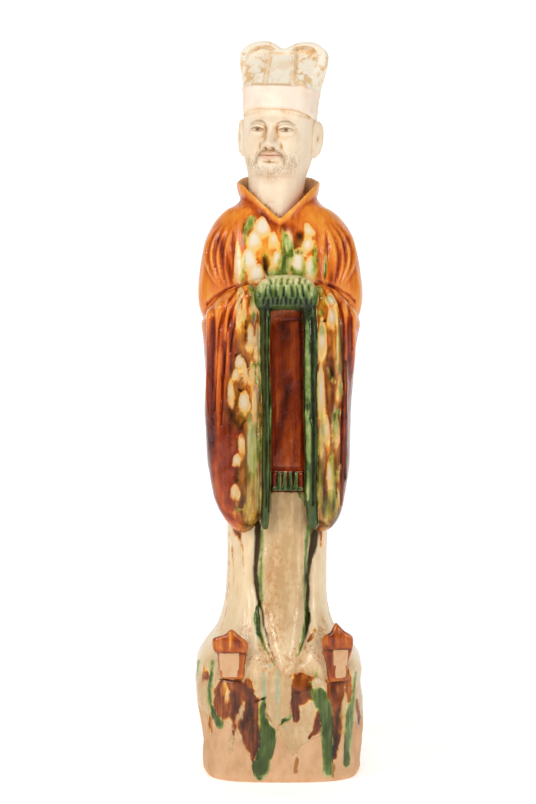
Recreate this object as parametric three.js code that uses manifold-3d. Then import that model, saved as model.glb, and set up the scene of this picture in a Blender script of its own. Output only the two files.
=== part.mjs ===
// A glazed pottery tomb attendant of the Tang kind, made in one piece: an official in a tall two-lobed
// cap, with both hands inside the gathered cuffs of very wide sleeves, standing on a rock base with
// turned-up shoes.
// Millimetres, +Z up, the figure faces -Y, and the origin is on the underside, below the figure's middle.
import * as THREE from "three";
import { mergeVertices } from "three/addons/utils/BufferGeometryUtils.js";
import Module from "manifold-3d";

// Driving dimensions
const FIGURE_HEIGHT = 879; // from the top of the rock to the top of the cap
const BASE_HEIGHT = 165;
const BASE_WIDTH = 222; // across the rock, just above its foot
const BASE_DEPTH = 188; // from the front of the rock to its back, just above its foot
const SHOE_THICKNESS = 20; // of the turned-up toe, front to back

// The carving is drawn for a figure of this height and grows with it.
const DRAWN_HEIGHT = 879;
const SCALE = FIGURE_HEIGHT / DRAWN_HEIGHT;

const wasm = await Module();
wasm.setup();

// Small shaping functions
const clamp = (t, low, high) => Math.min(high, Math.max(low, t));
const bump = (t, centre, width) => Math.exp(-(((t - centre) / width) ** 2));

function rise(t, from, to) {
  const s = clamp((t - from) / (to - from), 0, 1);
  return s * s * (3 - 2 * s);
}

// The value at t on a smooth line through knots [t, value], level beyond its ends.
function along(knots, t) {
  if (t <= knots[0][0]) return knots[0][1];
  const last = knots.length - 1;
  if (t >= knots[last][0]) return knots[last][1];
  let i = 0;
  while (t > knots[i + 1][0]) i++;
  const [t0, v0] = knots[i];
  const [t1, v1] = knots[i + 1];
  const slope = (a, b) => (b[1] - a[1]) / (b[0] - a[0]);
  const own = slope(knots[i], knots[i + 1]);
  const before = i > 0 ? slope(knots[i - 1], knots[i]) : own;
  const after = i < last - 1 ? slope(knots[i + 1], knots[i + 2]) : own;
  const start = before * own > 0 ? (2 * before * own) / (before + own) : 0;
  const end = after * own > 0 ? (2 * after * own) / (after + own) : 0;
  const s = (t - t0) / (t1 - t0);
  const gap = t1 - t0;
  return (
    v0 * (1 + 2 * s) * (1 - s) ** 2 +
    gap * start * s * (1 - s) ** 2 +
    v1 * s * s * (3 - 2 * s) -
    gap * end * s * s * (1 - s)
  );
}

// Heights from low to high in equal steps.
function steps(low, high, count) {
  return Array.from({ length: count + 1 }, (_, i) => low + ((high - low) * i) / count);
}

// A closed three.js geometry becomes a solid that can be joined and cut.
function solid(geometry) {
  geometry.deleteAttribute("normal");
  geometry.deleteAttribute("uv");
  const merged = mergeVertices(geometry, 1e-4);
  const index = merged.index.array;
  const triangles = [];
  for (let i = 0; i < index.length; i += 3) {
    const [a, b, c] = [index[i], index[i + 1], index[i + 2]];
    if (a !== b && b !== c && c !== a) triangles.push(a, b, c);
  }
  const build = (triVerts) =>
    new wasm.Manifold(
      new wasm.Mesh({
        numProp: 3,
        vertProperties: new Float32Array(merged.attributes.position.array),
        triVerts: new Uint32Array(triVerts),
      }),
    );
  const made = build(triangles);
  return made.volume() > 0 ? made : build(triangles.reverse());
}

// Moves each vertex of a geometry by a function of its place.
function reshape(geometry, place) {
  const at = geometry.getAttribute("position");
  const v = new THREE.Vector3();
  for (let i = 0; i < at.count; i++) {
    v.fromBufferAttribute(at, i);
    at.setXYZ(i, ...place(v));
  }
  return geometry;
}

// A closed skin of rings, one for each row. place(angle, row) is a point of the ring, with angle 0 in front
// and growing towards +X. The end rings close on their own middles. dense above 0 crowds points to the front.
function skin(around, rows, place, dense = 0) {
  const profile = rows.map((row) => new THREE.Vector2(1, row));
  profile.unshift(new THREE.Vector2(0, rows[0]));
  profile.push(new THREE.Vector2(0, rows[rows.length - 1]));
  const middle = (row) => {
    const sum = [0, 0, 0];
    for (const angle of steps(0, 2 * Math.PI, around).slice(1)) {
      place(angle, row).forEach((value, axis) => (sum[axis] += value / around));
    }
    return sum;
  };
  return solid(
    reshape(new THREE.LatheGeometry(profile, around), (v) => {
      if (Math.hypot(v.x, v.z) < 0.5) return middle(v.y);
      const turn = Math.atan2(v.x, v.z);
      return place(turn - dense * Math.sin(turn), v.y);
    }),
  );
}

// A point on an oval ring with squared corners: power 2 is an ellipse and more is squarer.
function oval(angle, width, front, back, power) {
  const side = Math.sin(angle);
  const face = Math.cos(angle);
  const reach = (Math.abs(side) ** power + Math.abs(face) ** power) ** (-1 / power);
  return [width * side * reach, -(face > 0 ? front : back) * face * reach];
}

// The rock base
// Each share is of half the base's width or depth, at a share of its height.
const ROCK = {
  width: [
    [0, 0.97], [0.06, 1.012], [0.35, 1.015], [0.5, 1.02], [0.7, 1.05], [0.86, 1.06], [0.96, 1],
    [1.05, 0.8],
  ],
  depth: [[0, 0.955], [0.06, 1], [0.5, 1.01], [0.8, 1.01], [0.9, 0.98], [0.98, 0.92], [1.05, 0.75]],
  lean: [[0, 1.3], [0.4, 0.6], [0.9, -3.5], [1.05, -3.5]],
};
const ROCK_ROWS = [0, 0.03, 0.12, 0.32, 0.52, 0.72, 0.9, 1.05];

// Shallow lumps and flutes of the rock, in millimetres, strongest in its middle height.
function rockRelief(angle, share) {
  const flutes = 1.6 * Math.sin(5 * angle + 1.1) + 1.3 * Math.sin(8 * angle + 7 * share);
  const lumps = 1.5 * Math.sin(3 * angle + 9 * share);
  return (flutes + lumps) * rise(share, 0.02, 0.25);
}

function rock() {
  const forward = 3; // the rock reaches a little further in front than behind
  return skin(32, ROCK_ROWS, (angle, share) => {
    const half = (BASE_DEPTH / 2) * along(ROCK.depth, share);
    const width = (BASE_WIDTH / 2) * along(ROCK.width, share);
    const [x, y] = oval(angle, width, half + forward, half - forward, 3.2);
    const out = rockRelief(angle, share);
    return [
      x + along(ROCK.lean, share) + out * Math.sin(angle),
      y - out * Math.cos(angle),
      share * BASE_HEIGHT,
    ];
  }, 0.15);
}

// The long underskirt
const SKIRT = {
  centre: [[-45, -2], [0, -4], [45, -8], [97, -7], [193, -4.6], [260, 0]],
  width: [
    [-52, 108], [-36, 116], [-20, 118.5], [-8, 118], [4, 113], [20, 101], [45, 82.5], [70, 75],
    [97, 71.5], [142, 70.5], [193, 72], [260, 70],
  ],
  front: [
    [-52, 86], [-36, 93], [-20, 96], [-8, 95], [4, 91], [20, 84], [45, 76], [70, 70], [97, 65],
    [142, 61], [193, 58], [260, 50],
  ],
  back: [
    [-52, 82], [-36, 90], [-20, 92], [-8, 91], [4, 88], [20, 82], [45, 73], [70, 66], [97, 61],
    [142, 58], [193, 57], [260, 50],
  ],
};
// The front fold hangs between two deep creases, whose places are given from the bottom up.
const LEFT_CREASE = [[-15, -6], [-2, -18], [22, -27], [80, -32], [116, -38.5], [180, -33]];
const RIGHT_CREASE = [[-15, 8], [-2, 22], [16, 31], [38, 38], [80, 37], [136, 39], [182, 43]];

function skirtRelief(x, angle, h) {
  const facing = rise(Math.cos(angle), 0, 0.3);
  const open = rise(h, 15, 75) * facing;
  const creases = bump(x, along(LEFT_CREASE, h) - 3, 7) + bump(x, along(RIGHT_CREASE, h) + 3, 7);
  const behind = 1 - facing;
  const folds = 2.4 * Math.cos(10 * angle + 0.6 * Math.sin(h / 60)) * behind * rise(h, -30, 20);
  return folds - 6 * creases * open;
}

function skirt() {
  const rows = [-52, -34, -18, -4, 8, 20, 34, 50, 72, 104, 150, 210, 250];
  return skin(44, rows, (angle, h) => {
    const width = along(SKIRT.width, h);
    const power = 3 - 0.7 * rise(h, -20, 60);
    const [x, y] = oval(angle, width, along(SKIRT.front, h), along(SKIRT.back, h), power);
    const out = skirtRelief(x + along(SKIRT.centre, h), angle, h);
    return [x + along(SKIRT.centre, h) + out * Math.sin(angle), y - out * Math.cos(angle), h];
  }, 0.5);
}

const FRONT_FOLD = {
  centre: [[-24, 10], [-12, 6], [0, 3], [80, 2], [114, 0], [182, 5], [250, 8]],
  width: [
    [-24, 8], [-20, 14], [-14, 18], [-4, 21], [16, 27], [38, 31], [80, 34], [114, 37], [182, 37],
    [250, 30],
  ],
  front: [
    [-24, 94], [-16, 99], [-8, 101], [0, 99], [16, 93], [38, 85], [80, 74], [142, 67], [200, 63],
    [250, 58],
  ],
};

function frontFold() {
  const rows = [-24, -20, -13, -3, 10, 28, 50, 80, 120, 170, 236];
  return skin(14, rows, (angle, h) => {
    const width = along(FRONT_FOLD.width, h);
    const [x, y] = oval(angle, width, along(FRONT_FOLD.front, h) - 40, 30, 2.6);
    const valley = 3 * bump(x, 0, 9) * rise(h, 20, 60) * (y < 0);
    return [x + along(FRONT_FOLD.centre, h), y - 40 + valley, h];
  }, 0.35);
}

// The robe: its body, chest, shoulders and upper arms
const ROBE_HEM = 240; // height of its lower edge above the rock
const ROBE = {
  centre: [[240, -1], [415, 0], [593, -2], [660, -3.7]],
  width: [
    [240, 80], [300, 84], [355, 88], [415, 94], [455, 101], [480, 110], [500, 116], [515, 117.3],
    [559, 113], [593, 106], [618, 93], [630, 83], [636, 76], [643, 63], [650, 56], [660, 53],
  ],
  front: [
    [240, 58], [300, 56], [415, 54], [455, 55], [490, 60], [520, 66], [559, 67], [593, 63], [618, 57],
    [643, 50], [660, 45],
  ],
  back: [[240, 60], [300, 62], [415, 58], [490, 62], [540, 66], [593, 63], [618, 57], [643, 47], [660, 42]],
};
const ROBE_POWER = 2.25;
const FOLD_BULGES = [0.68, 0.78, 0.87, 0.95]; // how far out each fold swings, as a share of the half width
const CROOK = 516; // height of the bend of the elbow, where the folds of the upper arm gather
const ARMPIT = 640;
const CHEST_EDGE = [[500, 0.52], [530, 0.56], [570, 0.62], [620, 0.7]]; // a share of the half width

function robeRelief(angle, h) {
  const behind = 1 - rise(Math.cos(angle), -0.2, 0.1);
  const fall = rise(h, 250, 330) * 0.4 + 0.6 * (1 - rise(h, 380, 520));
  return 2.6 * Math.cos(9 * angle) * behind * fall * (1 - rise(h, 520, 600));
}

function robe() {
  const rows = [ROBE_HEM, 300, 380, 440, 480, 508, 530, 554, 578, 600, 618, 630, 640, 650, 660];
  const body = skin(44, rows, (angle, h) => {
    const [x, y] = oval(angle, along(ROBE.width, h), along(ROBE.front, h), along(ROBE.back, h), ROBE_POWER);
    const out = robeRelief(angle, h);
    return [x + along(ROBE.centre, h) + out * Math.sin(angle), y - out * Math.cos(angle), h];
  }, 0.35);
  return body.subtract(neckOpening()).subtract(chestGroove(-1)).subtract(chestGroove(1));
}

// The wedge above the collar's V, which the neck then fills
function neckOpening() {
  const reach = 66;
  const climb = ((COLLAR.tip - COLLAR.low) / COLLAR.reach) * reach;
  const wedge = new THREE.Shape();
  wedge.moveTo(0, COLLAR.low);
  wedge.lineTo(reach, COLLAR.low + climb);
  wedge.lineTo(-reach, COLLAR.low + climb);
  const cut = new THREE.ExtrudeGeometry(wedge, { depth: 90, bevelEnabled: false });
  return solid(cut.rotateX(Math.PI / 2).translate(COLLAR.middle / 2, -6, 0));
}

// A tapered roll that lies on the front of the robe. path(share) is its height, its place across as a share
// of the robe's half width, and its girth. sunk is how deep its middle lies under the surface.
function rollOnRobe(side, around, rows, sunk, path) {
  return skin(around, rows, (angle, share) => {
    const [h, across, girth] = path(share);
    const [width, front] = [along(ROBE.width, h), along(ROBE.front, h)];
    const reach = (1 - across ** ROBE_POWER) ** (1 / ROBE_POWER);
    const lean = Math.atan2(across ** (ROBE_POWER - 1) / width, reach ** (ROBE_POWER - 1) / front);
    const sideways = girth * Math.sin(angle);
    const out = girth * Math.cos(angle) - sunk;
    return [
      along(ROBE.centre, h) + side * (across * width + out * Math.sin(lean)) + sideways * Math.cos(lean),
      -reach * front - out * Math.cos(lean) + side * sideways * Math.sin(lean),
      h,
    ];
  });
}

// One fold of the upper arm, which swings outwards between the elbow and the shoulder
function armFold(side, bulge) {
  return rollOnRobe(side, 5, steps(0, 1, 6), 1.2, (share) => {
    const h = CROOK + 4 + share * (ARMPIT - CROOK) * (0.55 + bulge * 0.3);
    const swing = Math.sin(Math.PI * clamp(0.06 + 0.72 * share, 0, 1)) ** 0.7;
    return [h, 0.56 + (bulge - 0.56) * swing, 4.4 * Math.sin(Math.PI * clamp(share, 0.03, 0.96)) ** 0.6];
  });
}

// The groove between the chest and each arm
function chestGroove(side) {
  return rollOnRobe(side, 4, steps(0, 1, 4), -0.6, (share) => {
    const h = CROOK + 6 + share * 100;
    return [h, along(CHEST_EDGE, h) - 0.03, 4 * Math.sin(Math.PI * clamp(share, 0.3, 0.97)) ** 0.7];
  });
}

// The front panel between the sleeves, and the pleated hem that shows below it
const PANEL = { middle: 9.5, width: 47, front: 58.5, thickness: 20, hem: 25, pleats: 6 };

function hemPleats() {
  const pleat = PANEL.width / PANEL.pleats;
  const [low, high] = [ROBE_HEM - 1, ROBE_HEM + PANEL.hem];
  const reach = (PANEL.width - pleat) / 2;
  const made = steps(PANEL.middle - reach, PANEL.middle + reach, PANEL.pleats - 1).map((x) => {
    const roll = new THREE.CylinderGeometry(pleat * 0.44, pleat * 0.48, high - low, 8);
    roll.rotateX(Math.PI / 2).scale(1, 1.5, 1).translate(x, 1.5 - PANEL.front, (low + high) / 2);
    return solid(roll);
  });
  return made.reduce((all, one) => all.add(one));
}

function frontPanel() {
  const [low, high] = [ROBE_HEM + PANEL.hem + 2, CUFF.centre - CUFF.height / 2];
  const slab = new THREE.BoxGeometry(PANEL.width, PANEL.thickness, high - low);
  return solid(slab.translate(PANEL.middle, PANEL.thickness / 2 - PANEL.front, (low + high) / 2));
}

// The hanging sleeves. The outer and inner edges are distances from the middle line.
const SLEEVE_TOP = 541; // height of the forearms' upper line at the middle
const SLEEVES = [
  {
    side: -1,
    outer: [[180, 88], [215, 97], [256, 104], [300, 106.5], [344, 109], [399, 107], [454, 110], [490, 112]],
    inner: [[180, 20], [200, 17], [265, 12], [465, 14], [540, 20]],
  },
  {
    side: 1,
    outer: [[180, 84], [215, 90], [256, 96.6], [300, 98], [344, 99], [399, 101], [454, 106], [490, 111]],
    inner: [[180, 38], [200, 35], [265, 32], [465, 29], [540, 24]],
  },
];
const SLEEVE = {
  front: [[180, 78], [240, 83], [400, 86], [480, 90], [530, 90]],
  back: [[180, -8], [220, 10], [300, 26], [420, 30], [480, 16], [530, -20]],
};

// The upper line of the forearm, lower towards its back, and the sleeve's lower edge.
const forearm = (x, y) => SLEEVE_TOP - 0.0037 * x * x - 0.35 * Math.max(0, y + 45);
const sleeveFoot = (x) => 180 + 0.02 * (Math.abs(x) - 56) ** 2;

function sleeveFolds(x, angle, h) {
  const facing = rise(Math.cos(angle), -0.2, 0.4);
  const hang = rise(h, 280, 440) * (1 - 0.4 * rise(h, 500, 530));
  return 2.2 * Math.sin((2 * Math.PI * Math.abs(x)) / 13 + 1) * facing * hang * rise(Math.abs(x), 62, 76);
}

function sleeve({ side, outer, inner }) {
  const rows = [0, 0.012, 0.035, 0.08, 0.2, 0.4, 0.62, 0.82, 0.92, 0.96, 0.985, 1];
  return skin(20, rows, (angle, share) => {
    const draft = 180 + share * 345;
    const [far, near] = [along(outer, draft), along(inner, draft)];
    const low = 1 - share / 0.08;
    const high = 1 - (1 - share) / 0.08;
    const round = Math.sqrt(1 - clamp(low, 0, 0.98) ** 2) * Math.sqrt(1 - clamp(high, 0, 0.93) ** 2);
    const middle = (far + near) / 2;
    const [front, back] = [along(SLEEVE.front, draft), along(SLEEVE.back, draft)];
    const depth = (front + back) / 2;
    const [u, y] = oval(angle, (far - near) / 2, depth, depth, 2.7);
    const x = side * middle + u * round;
    const deep = (back - front) / 2 + y * round;
    const h = sleeveFoot(x) + share * (forearm(x, deep) - sleeveFoot(x));
    const out = sleeveFolds(x, angle, h) * round;
    return [x + out * Math.sin(angle), deep - out * Math.cos(angle), h];
  }, 0.2);
}

// The green bands that edge the sleeves, which hang from the cuffs like long rolls
const BANDS = [
  {
    side: -1,
    width: [[186, 6], [230, 6.5], [440, 6], [505, 8]],
    centre: [[186, 24], [265, 20], [465, 22], [505, 24]],
  },
  {
    side: 1,
    width: [[186, 8], [230, 9], [440, 10], [505, 10]],
    centre: [[186, 44], [265, 41], [465, 39.5], [505, 38]],
  },
];

function band({ side, width, centre }) {
  const rows = [186, 189, 196, 240, 330, 430, 505];
  return skin(8, rows, (angle, h) => {
    const round = Math.sqrt(clamp((h - 182) / 14, 0.1, 1));
    const [x, y] = oval(angle, along(width, h) * round, 12 * round, 14, 2.4);
    return [x + side * along(centre, h), y - along(SLEEVE.front, h) + 8, h];
  });
}

// The gathered cuffs: one arched roll with tiers of short pleats
const CUFF = { middle: 6.5, half: 45, height: 24.5, depth: 23, centre: 517, forward: 78 };

function cuffPleats(x, lift) {
  const tier = Math.cos(lift * 5.2) ** 2;
  return 2 * Math.sin((2 * Math.PI * x) / 11 + (lift > 0 ? 0 : Math.PI)) * tier;
}

function cuffs() {
  const shape = new THREE.SphereGeometry(1, 12, 18).rotateZ(Math.PI / 2);
  return solid(
    reshape(shape, (v) => {
      const along01 = Math.sign(v.x) * Math.abs(v.x) ** 0.8;
      const girth = (1 - Math.abs(v.x) ** 4.5) ** 0.5 / Math.max(1e-6, Math.hypot(v.y, v.z));
      const lift = Math.asin(clamp(v.z / Math.max(1e-6, Math.hypot(v.y, v.z)), -1, 1));
      const out = v.y < 0.2 && Math.abs(v.x) < 0.97 ? cuffPleats(CUFF.half * along01, lift) : 0;
      const ring = Math.abs(v.x) > 0.9999 ? 0 : girth;
      return [
        CUFF.middle + CUFF.half * along01,
        v.y * ring * (CUFF.depth + out) - CUFF.forward,
        v.z * ring * (CUFF.height + out) + CUFF.centre - 9 * along01 * along01,
      ];
    }),
  );
}

// The standing collar: a band that follows a rim, low at the front V and high behind the neck
const COLLAR = { middle: -4, reach: 60, front: 58, back: 46, low: 619, tip: 677, top: 688 };

function rim(turn) {
  const side = Math.sin(turn);
  const face = Math.cos(turn);
  const climb = COLLAR.low + (COLLAR.tip - COLLAR.low) * Math.abs(side);
  const behind = COLLAR.tip + (COLLAR.top - COLLAR.tip) * rise(-face, 0, 0.8);
  return new THREE.Vector3(
    COLLAR.middle * (1 - 0.5 * face) + COLLAR.reach * side,
    -(face > 0 ? COLLAR.front : COLLAR.back) * face,
    face > 0 ? climb : behind,
  );
}

// The collar's wall narrows from its rim down to the shoulders.
function collar() {
  const [thickness, tube] = [3.2, 0.3];
  const ring = new THREE.TorusGeometry(1, tube, 6, 32);
  return solid(
    reshape(ring, (v) => {
      const turn = Math.atan2(v.x, -v.y);
      const around = Math.atan2(v.z, Math.hypot(v.x, v.y) - 1);
      const aside = rise(Math.abs(Math.sin(turn)), 0.1, 0.9);
      const behind = rise(-Math.cos(turn), 0, 0.8);
      const here = rim(turn);
      const out = new THREE.Vector3(Math.sin(turn), -Math.cos(turn), 0);
      const depth = (1 - Math.sin(around)) / 2;
      const narrow = (2 + 5 * aside + 2 * behind) * Math.sqrt(depth);
      here.addScaledVector(out, thickness * Math.cos(around) - narrow);
      return [here.x, here.y, here.z - (13 + 10 * aside + 22 * behind) * depth];
    }),
  );
}

// The head, in a frame of its own that turns to the figure's right and leans to its left
const HEAD = {
  middle: [0, 0, 730],
  shift: -3.5, // the head stands this far to the figure's right of the middle
  turn: THREE.MathUtils.degToRad(-12),
  lean: THREE.MathUtils.degToRad(3),
};
const SKULL = {
  width: [
    [612, 30], [640, 37], [672, 39.5], [684, 40.5], [694, 43], [708, 47], [724, 50], [742, 51],
    [760, 51], [785, 50],
  ],
  front: [
    [612, 50], [640, 44], [668, 39], [679, 42], [687, 50], [696, 53.5], [720, 55], [742, 55],
    [760, 54], [785, 53],
  ],
  back: [[612, 30], [660, 37], [690, 41], [710, 48], [742, 56], [770, 58], [785, 57]],
  shift: [[612, 0.5], [672, 0], [700, 0.5], [730, 0]],
};
const FACE = { brow: 752, eye: 744, nose: 719, mouth: 708, chin: 691, eyeGap: 20.5 };

// The face's relief by place across and up, on plain thirds from hairline to chin.
function faceRelief(x, h) {
  const nose = rise(h, FACE.nose - 3, FACE.nose + 3) * (1 - rise(h, FACE.nose + 6, FACE.brow));
  const eyes = bump(Math.abs(x), FACE.eyeGap, 10) * bump(h, FACE.eye, 6.5);
  const balls = bump(Math.abs(x), FACE.eyeGap, 8) * bump(h, FACE.eye, 4);
  const lips = bump(x, 0, 12) * bump(h, FACE.mouth, 5);
  return (
    12 * nose * bump(x, 0, 5.5) +
    4 * bump(Math.abs(x), 7.5, 4) * bump(h, FACE.nose + 3, 4) -
    4.5 * eyes +
    3 * balls +
    1.5 * bump(Math.abs(x), 18, 14) * bump(h, FACE.brow + 1, 4) +
    3 * lips +
    3 * bump(x, 0, 12) * bump(h, FACE.chin, 7) +
    2 * bump(Math.abs(x), 30, 12) * bump(h, 724, 14)
  );
}

function skull() {
  const rows = [612, 645, 672, 684, 692, 699, 704, 707, 711, 716, 721, 728, 736, 744, 752, 760, 785];
  return skin(26, rows, (angle, h) => {
    const width = along(SKULL.width, h);
    const [x, y] = oval(angle, width, along(SKULL.front, h), along(SKULL.back, h), 2.25);
    const out = faceRelief(x, h) * rise(Math.cos(angle), 0.1, 0.4);
    return [x + along(SKULL.shift, h), y - out, h];
  }, 0.55);
}

const EAR = { out: 51.5, back: 2, height: 738.5, half: 26.5, depth: 12.5, thickness: 9 };

function ear(side) {
  const lobe = new THREE.SphereGeometry(1, 7, 7).rotateX(Math.PI / 2);
  return solid(
    reshape(lobe, (v) => {
      const flare = 5 * clamp(v.y + v.z * 0.3, -1, 1);
      return [
        side * (EAR.out + EAR.thickness * v.x * side * 0.8 + flare),
        EAR.back + EAR.depth * v.y * (1 + 0.25 * v.z),
        EAR.height + EAR.half * v.z,
      ];
    }),
  );
}

// The cap: a plain band, arched over the brow, and above it a slanting front with a pocket inside a two-lobed
// rim. lobe is where each lobe is highest, side the rim's half width, corner how far below the top its sides
// begin to round, and floor the half width of the pocket's foot.
const CAP = {
  low: 767, arch: 8.5, shelf: 805, top: 879, notch: 867,
  wall: 7, pocket: 12, lobe: 29, side: 64, corner: 26, floor: 36,
};
const CAP_OUTLINE = {
  width: [[767, 51.5], [790, 52.5], [805, 53.5], [828, 58.5], [846, 62.5], [858, 63.5], [880, 63]],
  front: [[767, 57], [805, 58], [807, 55], [880.5, -10]],
  back: [[767, 58], [805, 62], [846, 66], [880, 60]],
};
const slant = (h) => -55 + (65 * (h - CAP.shelf - 2)) / (CAP.top - CAP.shelf - 2);

// The two-lobed outline, or the pocket's at an inset from it. The outline runs on below the cap's foot.
function capShape(inset) {
  const foot = inset ? CAP.shelf + 3 : CAP.low - 10;
  const [top, notch] = [CAP.top - inset, CAP.notch - inset];
  const [side, corner] = inset ? [55 - inset, foot + 12] : [CAP.side, CAP.top - CAP.corner];
  const [swell, below] = inset ? [66 - inset, 20] : [CAP.side, 11];
  const shape = new THREE.Shape();
  shape.moveTo(inset ? CAP.floor : side, foot);
  if (inset) shape.quadraticCurveTo(side, foot, side, corner);
  else shape.lineTo(side, corner);
  shape.bezierCurveTo(swell, CAP.top - below, 48, top, CAP.lobe, top);
  shape.bezierCurveTo(14, top, 8, notch, 0, notch);
  shape.bezierCurveTo(-8, notch, -14, top, -CAP.lobe, top);
  shape.bezierCurveTo(-48, top, -swell, CAP.top - below, -side, corner);
  if (inset) shape.quadraticCurveTo(-side, foot, -CAP.floor, foot);
  else shape.lineTo(-side, foot);
  return shape;
}

// A slab of the given outline that follows the cap's slant, from near to far behind the slanting face.
function slanted(shape, near, far) {
  const slab = new THREE.ExtrudeGeometry(shape, { depth: 1, bevelEnabled: false, curveSegments: 4 });
  return solid(reshape(slab, (v) => [v.x, slant(v.y) + near + v.z * (far - near), v.y]));
}

function cap() {
  const band = [CAP.low, CAP.shelf - 6, CAP.shelf - 1, CAP.shelf + 2];
  const rows = [...band, ...steps(CAP.shelf + 19, CAP.top - 7, 3), CAP.top + 5];
  const body = skin(26, rows, (angle, h) => {
    const [x, y] = oval(angle, along(CAP_OUTLINE.width, h), 1, 1, 2.6);
    const [front, back] = [along(CAP_OUTLINE.front, h), along(CAP_OUTLINE.back, h)];
    const arch = CAP.arch * rise(Math.cos(angle), 0.1, 1) * clamp((CAP.shelf - h) / (CAP.shelf - CAP.low), 0, 1);
    const lip = 1 + 0.028 * bump(h, CAP.shelf - 1, 3);
    return [x * lip, y * lip * (y < 0 ? front : back), h + arch];
  });
  const outline = new THREE.ExtrudeGeometry(capShape(0), { depth: 200, bevelEnabled: false, curveSegments: 4 });
  const lobes = solid(reshape(outline, (v) => [v.x, v.z - 100, v.y]));
  return body.intersect(lobes);
}

// A raised trim in the pocket, whose top leans a little to the figure's right
function capTrim(near, points) {
  const skewed = points.map(([x, h]) => new THREE.Vector2(x - 0.13 * (h - CAP.shelf), h));
  return slanted(new THREE.Shape(skewed), near, CAP.pocket + 6);
}

function capBoard() {
  const [foot, head] = [CAP.shelf, CAP.notch - 3];
  return capTrim(2.2, [[-21, foot], [21, foot], [16, head], [-16, head]]);
}

function capBlock(side) {
  const foot = CAP.shelf;
  return capTrim(6.5, [[side * 19, foot], [side * 37, foot], [side * 36, foot + 20], [side * 18, foot + 24]]);
}

// The head's parts are made about the figure's own axis and then turned and leaned together.
function head() {
  const pocket = slanted(capShape(CAP.wall), -30, CAP.pocket);
  const whole = [skull(), ear(-1), ear(1), capBoard(), capBlock(-1), capBlock(1)].reduce(
    (all, one) => all.add(one),
    cap().subtract(pocket),
  );
  const place = new THREE.Matrix4()
    .makeTranslation(HEAD.middle[0] + HEAD.shift, HEAD.middle[1], HEAD.middle[2])
    .multiply(new THREE.Matrix4().makeRotationY(HEAD.lean))
    .multiply(new THREE.Matrix4().makeRotationZ(HEAD.turn))
    .multiply(new THREE.Matrix4().makeTranslation(...HEAD.middle.map((value) => -value)));
  return whole.transform(place.elements);
}

// The turned-up toes of the shoes, whose pointed crests lean forward. Each is thicker at its foot. left and
// right give how far its outline reaches to either side of its middle at each height.
const SHOES = [
  {
    middle: -70.5, fold: 17, crest: 34, peak: [1.5, 51],
    left: [[-19, 14.5], [16, 18.5], [20, 23], [31, 25.5], [38, 24], [40.5, 17.5], [43.5, 8], [49, 2]],
    right: [[-19, 17.5], [16, 21], [22, 23.5], [29, 25], [34.5, 21], [40.5, 14], [46.5, 7]],
  },
  {
    middle: 77, fold: 22, crest: 38, peak: [-1.5, 60],
    left: [
      [-23, 11], [-10, 12.5], [4, 15], [18, 19.5], [31, 21.5], [38, 21], [42, 16.5], [46, 9.5],
      [54.5, 5.5],
    ],
    right: [[-23, 14], [2, 15], [15, 19.5], [24, 22], [37, 22.5], [42.5, 19], [47.5, 11], [55, 4]],
  },
];

function shoe({ middle, fold, crest, peak, left, right }) {
  const shape = new THREE.Shape([
    ...left.map(([h, reach]) => new THREE.Vector2(-reach, h)),
    new THREE.Vector2(...peak),
    ...right.map(([h, reach]) => new THREE.Vector2(reach, h)).reverse(),
  ]);
  const bevel = 2.5;
  const toe = new THREE.ExtrudeGeometry(shape, {
    depth: SHOE_THICKNESS / SCALE - 2 * bevel,
    bevelThickness: bevel,
    bevelSize: bevel,
    bevelOffset: -0.5,
    bevelSegments: 1,
  });
  const front = (h) => BASE_DEPTH / 2 / SCALE + 7 + 5 * bump(h, crest, 16) + 2 * rise(h, fold, fold + 2);
  return solid(
    reshape(toe, (v) => {
      const curl = (v.x / 24) ** 2 * 4;
      const thick = 1 + 1.3 * (1 - rise(v.y, left[0][0], crest));
      return [middle + v.x, -front(v.y) + curl + bevel + v.z * thick, v.y];
    }),
  );
}

// The whole figure, joined to the rock
function attendant() {
  const forms = [
    skirt(), frontFold(), robe(), hemPleats(), frontPanel(), cuffs(), collar(), head(),
    ...SLEEVES.map(sleeve), ...BANDS.map(band), ...SHOES.map(shoe),
    ...FOLD_BULGES.flatMap((bulge) => [armFold(-1, bulge), armFold(1, bulge)]),
  ];
  const figure = forms.reduce((all, one) => all.add(one));
  const placed = figure.scale(SCALE).translate([0, 0, BASE_HEIGHT]);
  return placed.add(rock());
}

function meshOf(whole, name, material) {
  const { numProp, numVert, vertProperties, triVerts } = whole.getMesh();
  const positions = new Float32Array(numVert * 3);
  for (let i = 0; i < numVert; i++) {
    positions.set(vertProperties.subarray(i * numProp, i * numProp + 3), i * 3);
  }
  const geometry = new THREE.BufferGeometry();
  geometry.setAttribute("position", new THREE.BufferAttribute(positions, 3));
  geometry.setIndex(new THREE.BufferAttribute(new Uint32Array(triVerts), 1));
  geometry.computeVertexNormals();
  const mesh = new THREE.Mesh(geometry, material);
  mesh.name = name;
  return mesh;
}

const amberGlaze = new THREE.MeshStandardMaterial({ color: 0xb0591d, roughness: 0.25, metalness: 0 });
const model = new THREE.Group();
model.add(meshOf(attendant(), "attendant", amberGlaze));

export default model;
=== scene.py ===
"""A glazed pottery tomb attendant: one modelled figure with its glazes and bare clay, in a plain studio."""
import math

import bpy
import numpy as np
from mathutils import Matrix, Vector
from mathutils.bvhtree import BVHTree
from mathutils.geometry import tessellate_polygon


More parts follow.
